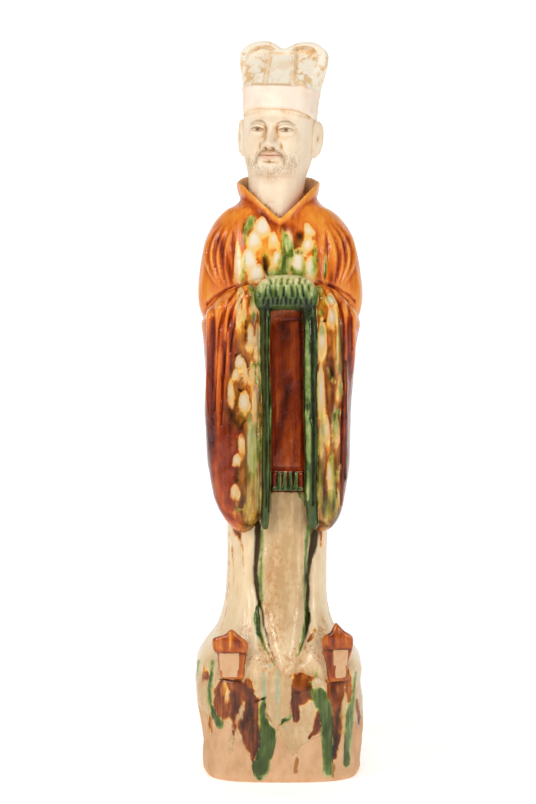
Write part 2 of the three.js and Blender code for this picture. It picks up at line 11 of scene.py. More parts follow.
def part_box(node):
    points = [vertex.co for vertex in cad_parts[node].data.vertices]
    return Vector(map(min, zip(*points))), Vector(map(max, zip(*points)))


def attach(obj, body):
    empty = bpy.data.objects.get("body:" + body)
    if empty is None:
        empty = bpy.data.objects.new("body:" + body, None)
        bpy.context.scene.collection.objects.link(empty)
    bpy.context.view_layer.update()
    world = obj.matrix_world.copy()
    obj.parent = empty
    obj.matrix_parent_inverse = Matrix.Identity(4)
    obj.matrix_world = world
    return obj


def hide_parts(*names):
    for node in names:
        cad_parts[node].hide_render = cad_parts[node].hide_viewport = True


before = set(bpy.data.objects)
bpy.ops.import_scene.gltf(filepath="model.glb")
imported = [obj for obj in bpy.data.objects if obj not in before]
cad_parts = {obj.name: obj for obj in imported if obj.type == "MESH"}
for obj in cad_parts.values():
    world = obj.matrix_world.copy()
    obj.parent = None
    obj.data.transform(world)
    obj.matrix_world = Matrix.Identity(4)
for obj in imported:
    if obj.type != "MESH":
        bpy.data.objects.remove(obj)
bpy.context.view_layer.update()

# The drawing is in millimetres: x is across, y from front to back, and h the height above the rock's top.
# It is scaled to the frame's height.
DRAWN_TOP = 1045.2
BASE_HEIGHT = 165
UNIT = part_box("attendant")[1].z / DRAWN_TOP

# Voxel sizes, and the share of the triangles that the body and the head keep
BODY_VOXEL = 1.6
HEAD_VOXEL = 0.95
BODY_TRIANGLES = 126000
HEAD_TRIANGLES = 66000


# Shaping functions

def bump(t, centre, width):
    return np.exp(-(((t - centre) / width) ** 2))


def rise(t, low, high):
    s = np.clip((t - low) / (high - low), 0, 1)
    return s * s * (3 - 2 * s)


def along(knots, t):
    """The value at t on a smooth line through knots (t, value), level beyond its ends."""
    ts, vs = np.array(knots, float).T
    t = np.clip(t, ts[0], ts[-1])
    own = np.diff(vs) / np.diff(ts)
    product, total = own[:-1] * own[1:], own[:-1] + own[1:]
    inner = np.where(product > 0, 2 * product / np.where(product > 0, total, 1), 0)
    slopes = np.concatenate([own[:1], inner, own[-1:]])
    i = np.clip(np.searchsorted(ts, t, "right") - 1, 0, len(own) - 1)
    gap = ts[i + 1] - ts[i]
    s = (t - ts[i]) / gap
    return (
        vs[i] * (1 + 2 * s) * (1 - s) ** 2
        + gap * slopes[i] * s * (1 - s) ** 2
        + vs[i + 1] * s * s * (3 - 2 * s)
        - gap * slopes[i + 1] * s * s * (1 - s)
    )


def oval(angle, width, front, back, power):
    """A point on an oval ring with squared corners: power 2 is an ellipse and more is squarer."""
    side, face = np.sin(angle), np.cos(angle)
    reach = (np.abs(side) ** power + np.abs(face) ** power) ** (-1 / power)
    return width * side * reach, -np.where(face > 0, front, back) * face * reach


def ripple(points, size, seed):
    """Smooth uneven waves over space, from -1 to 1, with features of about the given size."""
    rng = np.random.default_rng(seed)
    total = np.zeros(len(points))
    for _ in range(7):
        way = rng.normal(size=3)
        way *= 2 * math.pi / (size * rng.uniform(1.6, 3.2)) / np.linalg.norm(way)
        total += np.sin(points @ way + rng.uniform(0, 6.28))
    return total / 4


# Closed skins, as points and triangles

def grid_faces(rows, columns, closed_rows=False):
    i, j = np.meshgrid(np.arange(rows if closed_rows else rows - 1), np.arange(columns), indexing="ij")
    up, over = (i + 1) % rows, (j + 1) % columns
    a, b, c, d = i * columns + j, i * columns + over, up * columns + over, up * columns + j
    return np.concatenate([np.stack([a, b, c], -1).reshape(-1, 3), np.stack([a, c, d], -1).reshape(-1, 3)])


def loft(around, rows, place):
    """Rings closed at both ends. place(angle, row) gives x, y and h. Angle 0 faces front."""
    angle = np.linspace(0, 2 * math.pi, around, endpoint=False)[None, :]
    row = np.asarray(rows, float)[:, None]
    rings = np.stack(np.broadcast_arrays(*place(angle, row)), -1)
    count = len(rings)
    points = np.concatenate([rings.reshape(-1, 3), [rings[0].mean(0), rings[-1].mean(0)]])
    j = np.arange(around)
    over = (j + 1) % around
    foot = np.stack([np.full(around, count * around), over, j], -1)
    last = (count - 1) * around
    top = np.stack([np.full(around, count * around + 1), last + j, last + over], -1)
    return points, np.concatenate([grid_faces(count, around), foot, top])


def loop(turns, arounds, place):
    """A closed ring of closed sections. place(turn, around) gives x, y and h."""
    turn = np.linspace(0, 2 * math.pi, turns, endpoint=False)[:, None]
    around = np.linspace(0, 2 * math.pi, arounds, endpoint=False)[None, :]
    points = np.stack(np.broadcast_arrays(*place(turn, around)), -1).reshape(-1, 3)
    return points, grid_faces(turns, arounds, True)[:, ::-1]


def prism(outline, front, back):
    """An outline of (x, h) points made solid from y = front(x, h) to y = back(x, h)."""
    outline = np.array(outline, float)
    count = len(outline)
    x, h = outline.T
    near = np.stack([x, front(x, h), h], -1)
    far = np.stack([x, back(x, h), h], -1)
    face = np.array(tessellate_polygon([[Vector((px, ph, 0)) for px, ph in outline]]))
    j = np.arange(count)
    over = (j + 1) % count
    sides = np.concatenate([
        np.stack([j, over, count + over], -1),
        np.stack([j, count + over, count + j], -1),
    ])
    corner = outline[face[0]]
    (ax, ah), (bx, bh) = corner[1] - corner[0], corner[2] - corner[0]
    front_face = face if ax * bh - ah * bx > 0 else face[:, ::-1]
    area = np.sum(x * np.roll(h, -1) - np.roll(x, -1) * h)
    if area > 0:
        sides = sides[:, ::-1]
    return np.concatenate([near, far]), np.concatenate([front_face, front_face[:, ::-1] + count, sides])


def bezier(a, b, c, d):
    t = np.linspace(0, 1, 24, endpoint=False)[:, None]
    a, b, c, d = (np.array(p, float) for p in (a, b, c, d))
    return a * (1 - t) ** 3 + 3 * b * t * (1 - t) ** 2 + 3 * c * t * t * (1 - t) + d * t**3


def together(forms):
    start, points, faces = 0, [], []
    for form_points, form_faces in forms:
        points.append(form_points)
        faces.append(form_faces + start)
        start += len(form_points)
    return np.concatenate(points), np.concatenate(faces)


# Blender meshes in the drawing's millimetres

def put(name, points, faces):
    mesh = bpy.data.meshes.new(name)
    mesh.from_pydata(points.tolist(), [], faces.tolist())
    made = bpy.data.objects.new(name, mesh)
    bpy.context.scene.collection.objects.link(made)
    return made


def take(made):
    """The points and triangles of an object with its modifiers, which is then removed."""
    mesh = made.evaluated_get(bpy.context.evaluated_depsgraph_get()).to_mesh()
    mesh.calc_loop_triangles()
    points = np.empty(len(mesh.vertices) * 3)
    mesh.vertices.foreach_get("co", points)
    faces = np.empty(len(mesh.loop_triangles) * 3, np.int32)
    mesh.loop_triangles.foreach_get("vertices", faces)
    bpy.data.objects.remove(made)
    return points.reshape(-1, 3), faces.reshape(-1, 3)


def combine(first, second, how):
    made, tool = put("first", *first), put("tool", *second)
    cut = made.modifiers.new("cut", "BOOLEAN")
    cut.solver, cut.operation, cut.object = "MANIFOLD", how, tool
    result = take(made)
    bpy.data.objects.remove(tool)
    return result


def fuse(forms, voxel):
    made = put("fuse", *together(forms))
    remesh = made.modifiers.new("remesh", "REMESH")
    remesh.mode, remesh.voxel_size = "VOXEL", voxel
    return take(made)


def thin(points, faces, triangles, spare):
    """Fewer triangles. spare is 1 where the mesh may become coarse and 0 where it stays dense."""
    made = put("thin", points, faces)
    group = made.vertex_groups.new(name="spare")
    for level in range(11):
        group.add(np.flatnonzero(np.round(spare * 10) == level).tolist(), 0.05 + level * 0.095, "REPLACE")
    decimate = made.modifiers.new("decimate", "DECIMATE")
    decimate.ratio = triangles / len(faces)
    decimate.use_collapse_triangulate = True
    decimate.vertex_group, decimate.vertex_group_factor = "spare", 0.01
    return take(made)


def edges_of(faces):
    pairs = np.sort(np.concatenate([faces[:, [0, 1]], faces[:, [1, 2]], faces[:, [2, 0]]]), 1)
    return np.unique(pairs[:, 0].astype(np.int64) << 32 | pairs[:, 1]).view(np.int64)


def relax(points, faces, times, share=0.5):
    """Moves each point towards the mean of its neighbours, several times."""
    packed = edges_of(faces)
    a, b = packed >> 32, packed & 0xFFFFFFFF
    count = len(points)
    degree = np.bincount(a, minlength=count) + np.bincount(b, minlength=count)
    for _ in range(times):
        mean = np.stack([
            np.bincount(a, points[b, k], count) + np.bincount(b, points[a, k], count) for k in range(3)
        ], -1) / degree[:, None]
        points = points + share * (mean - points)
    return points


def normals_of(points, faces):
    a, b, c = points[faces[:, 0]], points[faces[:, 1]], points[faces[:, 2]]
    flat = np.cross(b - a, c - a)
    total = np.stack([
        sum(np.bincount(faces[:, i], flat[:, k], len(points)) for i in range(3)) for k in range(3)
    ], -1)
    return total / np.maximum(np.linalg.norm(total, axis=1, keepdims=True), 1e-9)


# The photo's view: pixels of the 536 by 804 frame, and millimetres at the figure's axis

PIXEL = 1.433
AXIS_PX, FLOOR_PY = 281, 770
CAMERA_DISTANCE = 2600
CAMERA_HEIGHT = 600


def to_pixels(points):
    x, y, h = points.T
    nearer = CAMERA_DISTANCE / (CAMERA_DISTANCE + y)
    level = CAMERA_HEIGHT + (h + BASE_HEIGHT - CAMERA_HEIGHT) * nearer
    return AXIS_PX + x * nearer / PIXEL, FLOOR_PY - level / PIXEL


# A distance that no mark or form reaches
FAR = 60.0


def most(*fields):
    return np.maximum.reduce(fields)


def drop(px, py, cx, cy, wide, tall, lean=0, *, foot=1):
    """How far inside an oval drop each place is. With foot below 1, its lower edge is softer."""
    down = (py - cy) / (tall / 2)
    half = wide / 2 * (0.88 + 0.22 * np.clip(down, -1, 1))
    reach = np.hypot((px - cx - lean * (py - cy)) / half, down)
    inside = (1 - reach) * min(wide, tall) / 2
    return inside * (1 - (1 - foot) * rise(down, 0.1, 1.1))


def stroke(px, py, start, end):
    """How far inside a tapered brush stroke each place is. start and end are (px, py, width)."""
    (ax, ay, aw), (bx, by, bw) = start, end
    wide, tall = bx - ax, by - ay
    share = np.clip(((px - ax) * wide + (py - ay) * tall) / (wide * wide + tall * tall), 0, 1)
    away = np.hypot(px - ax - share * wide, py - ay - share * tall)
    return (aw + (bw - aw) * share) / 2 - away


def inside_marks(px, py, marks, unit=PIXEL, foot=1):
    """How far inside the nearest mark each place is, in millimetres. Drops are tuples, lines are lists."""
    field = np.full(len(px), -FAR)
    for mark in marks:
        if isinstance(mark, tuple):
            field = np.maximum(field, drop(px, py, *mark, foot=foot) * unit)
        else:
            for start, end in zip(mark, mark[1:]):
                field = np.maximum(field, stroke(px, py, start, end) * unit)
    return field


# The rock base. Each share is of half the base's width or depth, at a share of its height.

BASE_WIDTH, BASE_DEPTH = 222, 188
ROCK_WIDTH = [
    (0, 0.97), (0.06, 1.012), (0.35, 1.015), (0.5, 1.02), (0.7, 1.05), (0.86, 1.06), (0.96, 1), (1.05, 0.8),
]
ROCK_DEPTH = [(0, 0.955), (0.06, 1), (0.5, 1.01), (0.8, 1.01), (0.9, 0.98), (0.98, 0.92), (1.05, 0.75)]
ROCK_LEAN = [(0, 1.3), (0.4, 0.6), (0.9, -3.5), (1.05, -3.5)]


def rock():
    def place(angle, share):
        half = BASE_DEPTH / 2 * along(ROCK_DEPTH, share)
        width = BASE_WIDTH / 2 * along(ROCK_WIDTH, share)
        x, y = oval(angle, width, half + 3, half - 3, 3.2)
        flutes = 1.6 * np.sin(5 * angle + 1.1) + 1.3 * np.sin(8 * angle + 7 * share)
        lumps = 1.5 * np.sin(3 * angle + 9 * share) + 0.7 * np.sin(13 * angle - 5 * share)
        out = (flutes + lumps) * rise(share, 0.02, 0.25)
        return (
            x + along(ROCK_LEAN, share) + out * np.sin(angle),
            y - out * np.cos(angle),
            (share - 1) * BASE_HEIGHT + 0 * angle,
        )
    return loft(220, np.concatenate([[0, 0.008, 0.02], np.linspace(0.04, 1.05, 90)]), place)


# The long underskirt and its hanging front fold

SKIRT_CENTRE = [(-45, -2), (0, -4), (45, -8), (97, -7), (193, -4.6), (260, 0)]
SKIRT_WIDTH = [
    (-52, 108), (-36, 116), (-20, 118.5), (-8, 118), (4, 113), (20, 101), (45, 82.5), (70, 75), (97, 71.5),
    (142, 70.5), (193, 72), (260, 70),
]
SKIRT_FRONT = [
    (-52, 86), (-36, 93), (-20, 96), (-8, 95), (4, 91), (20, 84), (45, 76), (70, 70), (97, 65), (142, 61),
    (193, 58), (260, 50),
]
SKIRT_BACK = [
    (-52, 82), (-36, 90), (-20, 92), (-8, 91), (4, 88), (20, 82), (45, 73), (70, 66), (97, 61), (142, 58),
    (193, 57), (260, 50),
]
LEFT_CREASE = [(-15, -6), (-2, -18), (22, -27), (80, -32), (116, -38.5), (180, -33)]
RIGHT_CREASE = [(-15, 8), (-2, 22), (16, 31), (38, 38), (80, 37), (136, 39), (182, 43)]


def skirt():
    def place(angle, h):
        power = 3 - 0.7 * rise(h, -20, 60)
        x, y = oval(angle, along(SKIRT_WIDTH, h), along(SKIRT_FRONT, h), along(SKIRT_BACK, h), power)
        x = x + along(SKIRT_CENTRE, h)
        facing = rise(np.cos(angle), 0, 0.3)
        creases = bump(x, along(LEFT_CREASE, h) - 2, 5) + bump(x, along(RIGHT_CREASE, h) + 2, 5)
        behind = 2.4 * np.cos(10 * angle + 0.6 * np.sin(h / 60)) * (1 - facing) * rise(h, -30, 20)
        ridges = 0.7 * np.sin(angle * 26 + 0.8 * np.sin(h / 47)) * rise(h, 30, 90)
        ridges = ridges * (0.4 + 0.6 * (1 - facing))
        out = behind + ridges - 8 * creases * rise(h, -8, 25) * facing
        return x + out * np.sin(angle), y - out * np.cos(angle), h + 0 * angle
    return loft(300, np.linspace(-52, 250, 170), place)


FOLD_CENTRE = [(-17, 8), (-4, 7), (16, 4), (80, 2), (114, 0), (182, 5), (250, 8)]
FOLD_WIDTH = [
    (-17, 6), (-15, 11), (-11, 15.5), (-4, 19.5), (16, 26), (38, 31), (80, 34), (114, 37), (182, 37),
    (250, 30),
]
FOLD_FRONT = [
    (-17, 94.5), (-13, 98.5), (-8, 101), (0, 100), (16, 94), (38, 85), (80, 74), (142, 67), (200, 63),
    (250, 58),
]


def front_fold():
    def place(angle, h):
        width = along(FOLD_WIDTH, h)
        x, y = oval(angle, width, along(FOLD_FRONT, h) - 40, 30, 2.6)
        share = x / width
        upper = rise(h, 60, 150)
        valley = 2.6 * bump(share, 0.05, 0.26) * rise(h, 20, 60) + 1.5 * bump(share, -0.45, 0.1) * upper
        valley = valley + 1.2 * bump(share, 0.42, 0.1) * upper
        return x + along(FOLD_CENTRE, h), y - 40 + valley * (y < 0), h + 0 * angle
    return loft(140, np.concatenate([[-17, -16.4, -15.4, -14], np.linspace(-12, 236, 140)]), place)


# The robe: its body, chest, shoulders and upper arms

ROBE_HEM = 240
ROBE_CENTRE = [(240, -1), (415, 0), (593, -2), (660, -3.7)]
ROBE_WIDTH = [
    (240, 80), (300, 84), (355, 88), (415, 94), (455, 101), (480, 110), (500, 116), (515, 117.3),
    (559, 113), (593, 106), (618, 93), (630, 83), (636, 76), (643, 63), (650, 56), (660, 53),
]
ROBE_FRONT = [
    (240, 58), (300, 56), (415, 54), (455, 55), (490, 60), (520, 66), (559, 67), (593, 63), (618, 57),
    (643, 50), (660, 45),
]
ROBE_BACK = [
    (240, 60), (300, 62), (415, 58), (490, 62), (540, 66), (593, 63), (618, 57), (643, 47), (660, 42),
]
ROBE_POWER = 2.25
CROOK, ARMPIT = 516, 640
FOLD_BULGES = (0.68, 0.78, 0.87, 0.95)
CHEST_EDGE = [(500, 0.52), (530, 0.56), (570, 0.62), (620, 0.7)]
COLLAR_MIDDLE = -4
COLLAR_REACH = 60
COLLAR_FRONT, COLLAR_BACK = 58, 46
COLLAR_LOW, COLLAR_TIP, COLLAR_TOP = 619, 677, 688


def robe():
    def place(angle, h):
        x, y = oval(angle, along(ROBE_WIDTH, h), along(ROBE_FRONT, h), along(ROBE_BACK, h), ROBE_POWER)
        behind = 1 - rise(np.cos(angle), -0.2, 0.1)
        fall = rise(h, 250, 330) * 0.4 + 0.6 * (1 - rise(h, 380, 520))
        wave = np.cos(9 * angle + 0.25 * np.sin(h / 50)) + 0.35 * np.cos(17 * angle + 1)
        out = 2.6 * wave * behind * fall * (1 - rise(h, 520, 600))
        return x + along(ROBE_CENTRE, h) + out * np.sin(angle), y - out * np.cos(angle), h + 0 * angle
    body = loft(300, np.linspace(ROBE_HEM, 660, 230), place)
    reach = COLLAR_REACH + 6
    climb = (COLLAR_TIP - COLLAR_LOW) / COLLAR_REACH * reach
    corners = ((0, 0), (reach, climb), (-reach, climb))
    wedge = [(x + COLLAR_MIDDLE / 2, COLLAR_LOW + up) for x, up in corners]
    opening = prism(wedge, lambda x, h: 0 * x - 96, lambda x, h: 0 * x - 6)
    body = combine(body, opening, "DIFFERENCE")
    for side in (-1, 1):
        body = combine(body, chest_groove(side), "DIFFERENCE")
    return body


def roll_on_robe(side, sunk, path):
    """A tapered roll on the robe's front. path(share) gives its height, its place across as a share of the
    half width, and its girth. sunk is how deep its middle lies."""
    def place(angle, share):
        h, across, girth = path(share)
        width, front = along(ROBE_WIDTH, h), along(ROBE_FRONT, h)
        reach = (1 - across**ROBE_POWER) ** (1 / ROBE_POWER)
        lean = np.arctan2(across ** (ROBE_POWER - 1) / width, reach ** (ROBE_POWER - 1) / front)
        sideways, out = girth * np.sin(angle), girth * np.cos(angle) - sunk
        x = along(ROBE_CENTRE, h) + side * across * width
        x = x + sideways * np.cos(lean) + side * out * np.sin(lean)
        y = -reach * front - out * np.cos(lean) + side * sideways * np.sin(lean)
        return x, y, h + 0 * angle
    return loft(20, np.linspace(0, 1, 60), place)


def arm_fold(side, bulge):
    def path(share):
        h = CROOK + 4 + share * (ARMPIT - CROOK) * (0.55 + bulge * 0.3)
        swing = np.sin(math.pi * np.clip(0.06 + 0.72 * share, 0, 1)) ** 0.7
        girth = 4.6 * np.sin(math.pi * np.clip(share, 0.02, 0.98)) ** 0.6
        return h, 0.56 + (bulge - 0.56) * swing, girth
    return roll_on_robe(side, 1.0, path)


def chest_groove(side):
    def path(share):
        h = CROOK + 6 + share * 100
        return h, along(CHEST_EDGE, h) - 0.03, 4 * np.sin(math.pi * np.clip(share, 0.3, 0.97)) ** 0.7
    return roll_on_robe(side, -0.6, path)


# The front panel between the sleeves, and the pleated hem below it

PANEL_MIDDLE = 9.5
PANEL_WIDTH = 47
PANEL_FRONT = 58.5
PANEL_HEM = 25
PANEL_PLEATS = 6
CUFF_MIDDLE, CUFF_CENTRE, CUFF_FORWARD = 6.5, 517, 78
CUFF_HALF, CUFF_HEIGHT, CUFF_DEPTH = 45, 24.5, 23


def panel():
    low, high = ROBE_HEM + PANEL_HEM + 2, CUFF_CENTRE - CUFF_HEIGHT / 2
    half = PANEL_WIDTH / 2

    def place(angle, h):
        x, y = oval(angle, half, 10, 10, 9)
        swell = 1.2 * bump(x, 2, 13) * (y < 0)
        return x + PANEL_MIDDLE, y + 10 - PANEL_FRONT - swell, h + 0 * angle
    return loft(90, np.linspace(low, high, 120), place)


def hem_pleats():
    pleat = PANEL_WIDTH / PANEL_PLEATS
    rolls = []
    for i in range(PANEL_PLEATS):
        middle = PANEL_MIDDLE + (i - (PANEL_PLEATS - 1) / 2) * pleat

        def place(angle, h):
            x, y = oval(angle, pleat * 0.46, pleat * 0.72, pleat * 0.72, 2)
            lean = 0.6 * math.sin(2.3 * i) * (h - ROBE_HEM) / PANEL_HEM
            return x + middle + lean, y + 1.5 - PANEL_FRONT, h + 0 * angle
        rolls.append(loft(24, np.linspace(ROBE_HEM - 1, ROBE_HEM + PANEL_HEM, 20), place))
    return together(rolls)


# The hanging sleeves. The outer and inner edges are distances from the middle line.

SLEEVE_TOP = 541
SLEEVES = {
    -1: ([(180, 88), (215, 97), (256, 104), (300, 106.5), (344, 109), (399, 107), (454, 110), (490, 112)],
         [(180, 20), (200, 17), (265, 12), (465, 14), (540, 20)]),
    1: ([(180, 84), (215, 90), (256, 96.6), (300, 98), (344, 99), (399, 101), (454, 106), (490, 111)],
        [(180, 38), (200, 35), (265, 32), (465, 29), (540, 24)]),
}
SLEEVE_FRONT = [(180, 78), (240, 83), (400, 86), (480, 90), (530, 90)]
SLEEVE_BACK = [(180, -8), (220, 10), (300, 26), (420, 30), (480, 16), (530, -20)]


def sleeve(side):
    outer, inner = SLEEVES[side]

    def place(angle, share):
        angle = angle - 0.2 * np.sin(angle)
        draft = 180 + share * 345
        far, near = along(outer, draft), along(inner, draft)
        low, high = 1 - share / 0.08, 1 - (1 - share) / 0.08
        round_off = np.sqrt(1 - np.clip(low, 0, 0.98) ** 2) * np.sqrt(1 - np.clip(high, 0, 0.93) ** 2)
        front, back = along(SLEEVE_FRONT, draft), along(SLEEVE_BACK, draft)
        depth = (front + back) / 2
        u, y = oval(angle, (far - near) / 2, depth, depth, 2.7)
        x = side * (far + near) / 2 + u * round_off
        deep = (back - front) / 2 + y * round_off
        foot = 180 + 0.02 * (np.abs(x) - 56) ** 2
        forearm = SLEEVE_TOP - 0.0037 * x * x - 0.35 * np.maximum(0, deep + 45)
        h = foot + share * (forearm - foot)
        hang = rise(h, 280, 440) * (1 - 0.4 * rise(h, 500, 530))
        fold = np.sin(2 * math.pi * np.abs(x) / 13 + 1 + 0.004 * h) * rise(np.abs(x), 62, 76)
        slow = 1.6 * np.sin(np.abs(x) / 11 + side) * rise(np.cos(angle), 0, 0.5) * (1 - rise(h, 380, 460))
        out = (2.2 * fold * rise(np.cos(angle), -0.2, 0.4) * hang + slow) * round_off
        return x + out * np.sin(angle), deep - out * np.cos(angle), h
    ends = np.array([0, 0.004, 0.012, 0.022, 0.035, 0.05, 0.065])
    return loft(220, np.concatenate([ends, np.linspace(0.08, 0.92, 190), 1 - ends[::-1]]), place)


# The green bands that edge the sleeves, and the gathered cuffs

BANDS = {
    -1: ([(186, 6), (230, 6.5), (440, 6), (505, 8)], [(186, 24), (265, 20), (465, 22), (505, 24)]),
    1: ([(186, 8), (230, 9), (440, 10), (505, 10)], [(186, 44), (265, 41), (465, 39.5), (505, 38)]),
}


def band(side):
    width, centre = BANDS[side]

    def place(angle, h):
        round_off = np.sqrt(np.clip((h - 182) / 14, 0.1, 1))
        x, y = oval(angle, along(width, h) * round_off, 12 * round_off, 14, 2.4)
        wander = 0.8 * np.sin(h / 23 + side)
        return x + side * along(centre, h) + wander, y - along(SLEEVE_FRONT, h) + 8, h + 0 * angle
    return loft(60, np.concatenate([[186, 187, 188.5, 191], np.linspace(194, 505, 150)]), place)


def cuffs():
    def place(angle, share):
        end = np.abs(share)
        across = np.sign(share) * end**0.8
        girth = np.sqrt(np.maximum(0, 1 - end**4.5))
        y, z = -np.cos(angle) * girth, np.sin(angle) * girth
        gathers = np.sin(20 * across + 2.5 * np.sin(2 * angle)) * np.cos(angle).clip(0, 1)
        swell = 1 + 0.04 * np.sin(7 * across + 1) + 0.035 * gathers
        return (
            CUFF_MIDDLE + CUFF_HALF * across + 0 * angle,
            y * CUFF_DEPTH * swell - CUFF_FORWARD,
            z * CUFF_HEIGHT + CUFF_CENTRE - 9 * across * across,
        )
    points, faces = loft(120, np.linspace(-0.999, 0.999, 120), place)
    return points, faces[:, ::-1]


# The standing collar, whose wall narrows from its rim down to the shoulders

def collar():
    def place(turn, around):
        side, face = np.sin(turn), np.cos(turn)
        climb = COLLAR_LOW + (COLLAR_TIP - COLLAR_LOW) * np.sqrt(side * side + 0.001)
        behind_top = COLLAR_TIP + (COLLAR_TOP - COLLAR_TIP) * rise(-face, 0, 0.8)
        aside, behind = rise(np.abs(side), 0.1, 0.9), rise(-face, 0, 0.8)
        depth = (1 - np.sin(around)) / 2
        narrow = (2 + 5 * aside + 2 * behind) * np.sqrt(depth)
        out = 3.3 * np.cos(around) - narrow
        x = COLLAR_MIDDLE * (1 - 0.5 * face) + COLLAR_REACH * side + out * side
        y = -np.where(face > 0, COLLAR_FRONT, COLLAR_BACK) * face - out * face
        return x, y, np.where(face > 0, climb, behind_top) - (13 + 10 * aside + 22 * behind) * depth
    return loop(240, 36, place)


# The shoes' turned-up toes

SHOES = (
    {
        "middle": -70.5, "fold": 17, "crest": 34,
        "left": [(-19, 14.5), (16, 18.5), (20, 23), (31, 25.5), (38, 24), (40.5, 17.5), (43.5, 8), (49, 2),
                 (51, -1)],
        "right": [(-19, 17.5), (16, 21), (22, 23.5), (29, 25), (34.5, 21), (40.5, 14), (46.5, 7), (51, 2)],
    },
    {
        "middle": 77, "fold": 22, "crest": 38,
        "left": [(-23, 11), (-10, 12.5), (4, 15), (18, 19.5), (31, 21.5), (38, 21), (42, 16.5), (46, 9.5),
                 (54.5, 5.5), (60, 2)],
        "right": [(-23, 14), (2, 15), (15, 19.5), (24, 22), (37, 22.5), (42.5, 19), (47.5, 11), (55, 4),
                  (60, -1)],
    },
)
SHOE_THICKNESS = 20


def shoe(middle, fold, crest, left, right):
    low, peak = left[0][0], left[-1][0]

    def place(angle, h):
        reach_left, reach_right = along(left, h), along(right, h)
        x, y = oval(angle, (reach_left + reach_right) / 2, 1, 1, 7)
        x = x + (reach_right - reach_left) / 2
        front = BASE_DEPTH / 2 + 7 + 5 * bump(h, crest, 16) + 2 * rise(h, fold, fold + 2)
        thick = SHOE_THICKNESS - 8 * rise(h, crest - 10, peak)
        deep = thick + 16 * (1 - rise(h, low, crest))
        curl = (x / 24) ** 2 * 4
        ridge = 1.4 * bump(x, 0, 5) * rise(h, fold, crest)
        edge = rise(h, low, low + 3) * 2 - 2
        face = -front + curl
        y = np.where(y < 0, face - ridge + (1 + y) * 9 - edge, face + deep - (1 - y) * 5)
        return middle + x, y, h + 0 * angle
    return loft(140, np.linspace(low, peak, 110), place)


# The head, in its own upright frame before it is turned to the figure's right and leaned to its left

HEAD_MIDDLE = Vector((0, 0, 730))
HEAD_TURN, HEAD_LEAN = math.radians(-12), math.radians(3)
HEAD_SHIFT = Vector((-3.5, 0, 0))
HEAD_PLACE = (
    Matrix.Translation(HEAD_MIDDLE + HEAD_SHIFT)
    @ Matrix.Rotation(HEAD_LEAN, 4, "Y")
    @ Matrix.Rotation(HEAD_TURN, 4, "Z")
    @ Matrix.Translation(-HEAD_MIDDLE)
)
SKULL_WIDTH = [
    (612, 30), (640, 37), (672, 39.5), (684, 40.5), (694, 43), (708, 47), (724, 50), (742, 51), (760, 51),
    (785, 50),
]
SKULL_FRONT = [
    (612, 50), (640, 44), (668, 39), (679, 42), (687, 50), (696, 53.5), (720, 55), (742, 55), (760, 54),
    (785, 53),
]
SKULL_BACK = [(612, 30), (660, 37), (690, 41), (710, 48), (742, 56), (770, 58), (785, 57)]
SKULL_SHIFT = [(612, 0.5), (672, 0), (700, 0.5), (730, 0)]

# A plain face on thirds: the brow, the nose's base and the chin's foot are 33 apart, and the eyes are
# about an eye's width apart. CHIN is the middle of the chin.
BROW, EYE, NOSE, MOUTH, CHIN = 752, 744, 719, 708, 691
EYE_GAP, EYE_HALF, MOUTH_HALF = 20.5, 10.5, 15.5
NOSE_PROFILE = [
    (716, 0), (718.4, 11), (721.5, 17), (725, 18), (730, 15), (738, 10), (746, 6.4), (753, 3.6), (762, 0),
]
NOSE_BREADTH = [(717, 7.4), (724, 6.6), (734, 4.8), (746, 4.6), (756, 9)]


def lid_edges(side):
    """The heights of the upper and the lower lid's edge."""
    u = (side - EYE_GAP) / EYE_HALF
    inside = np.maximum(0, 1 - u * u)
    return EYE + 3.2 * inside**0.8 + 0.5 * u, EYE - 2.2 * inside**0.9 + 0.5 * u, inside


def mouth_line(x):
    return MOUTH + 0.5 * (x / MOUTH_HALF) ** 2 - 0.5 * bump(x, 0, 4)


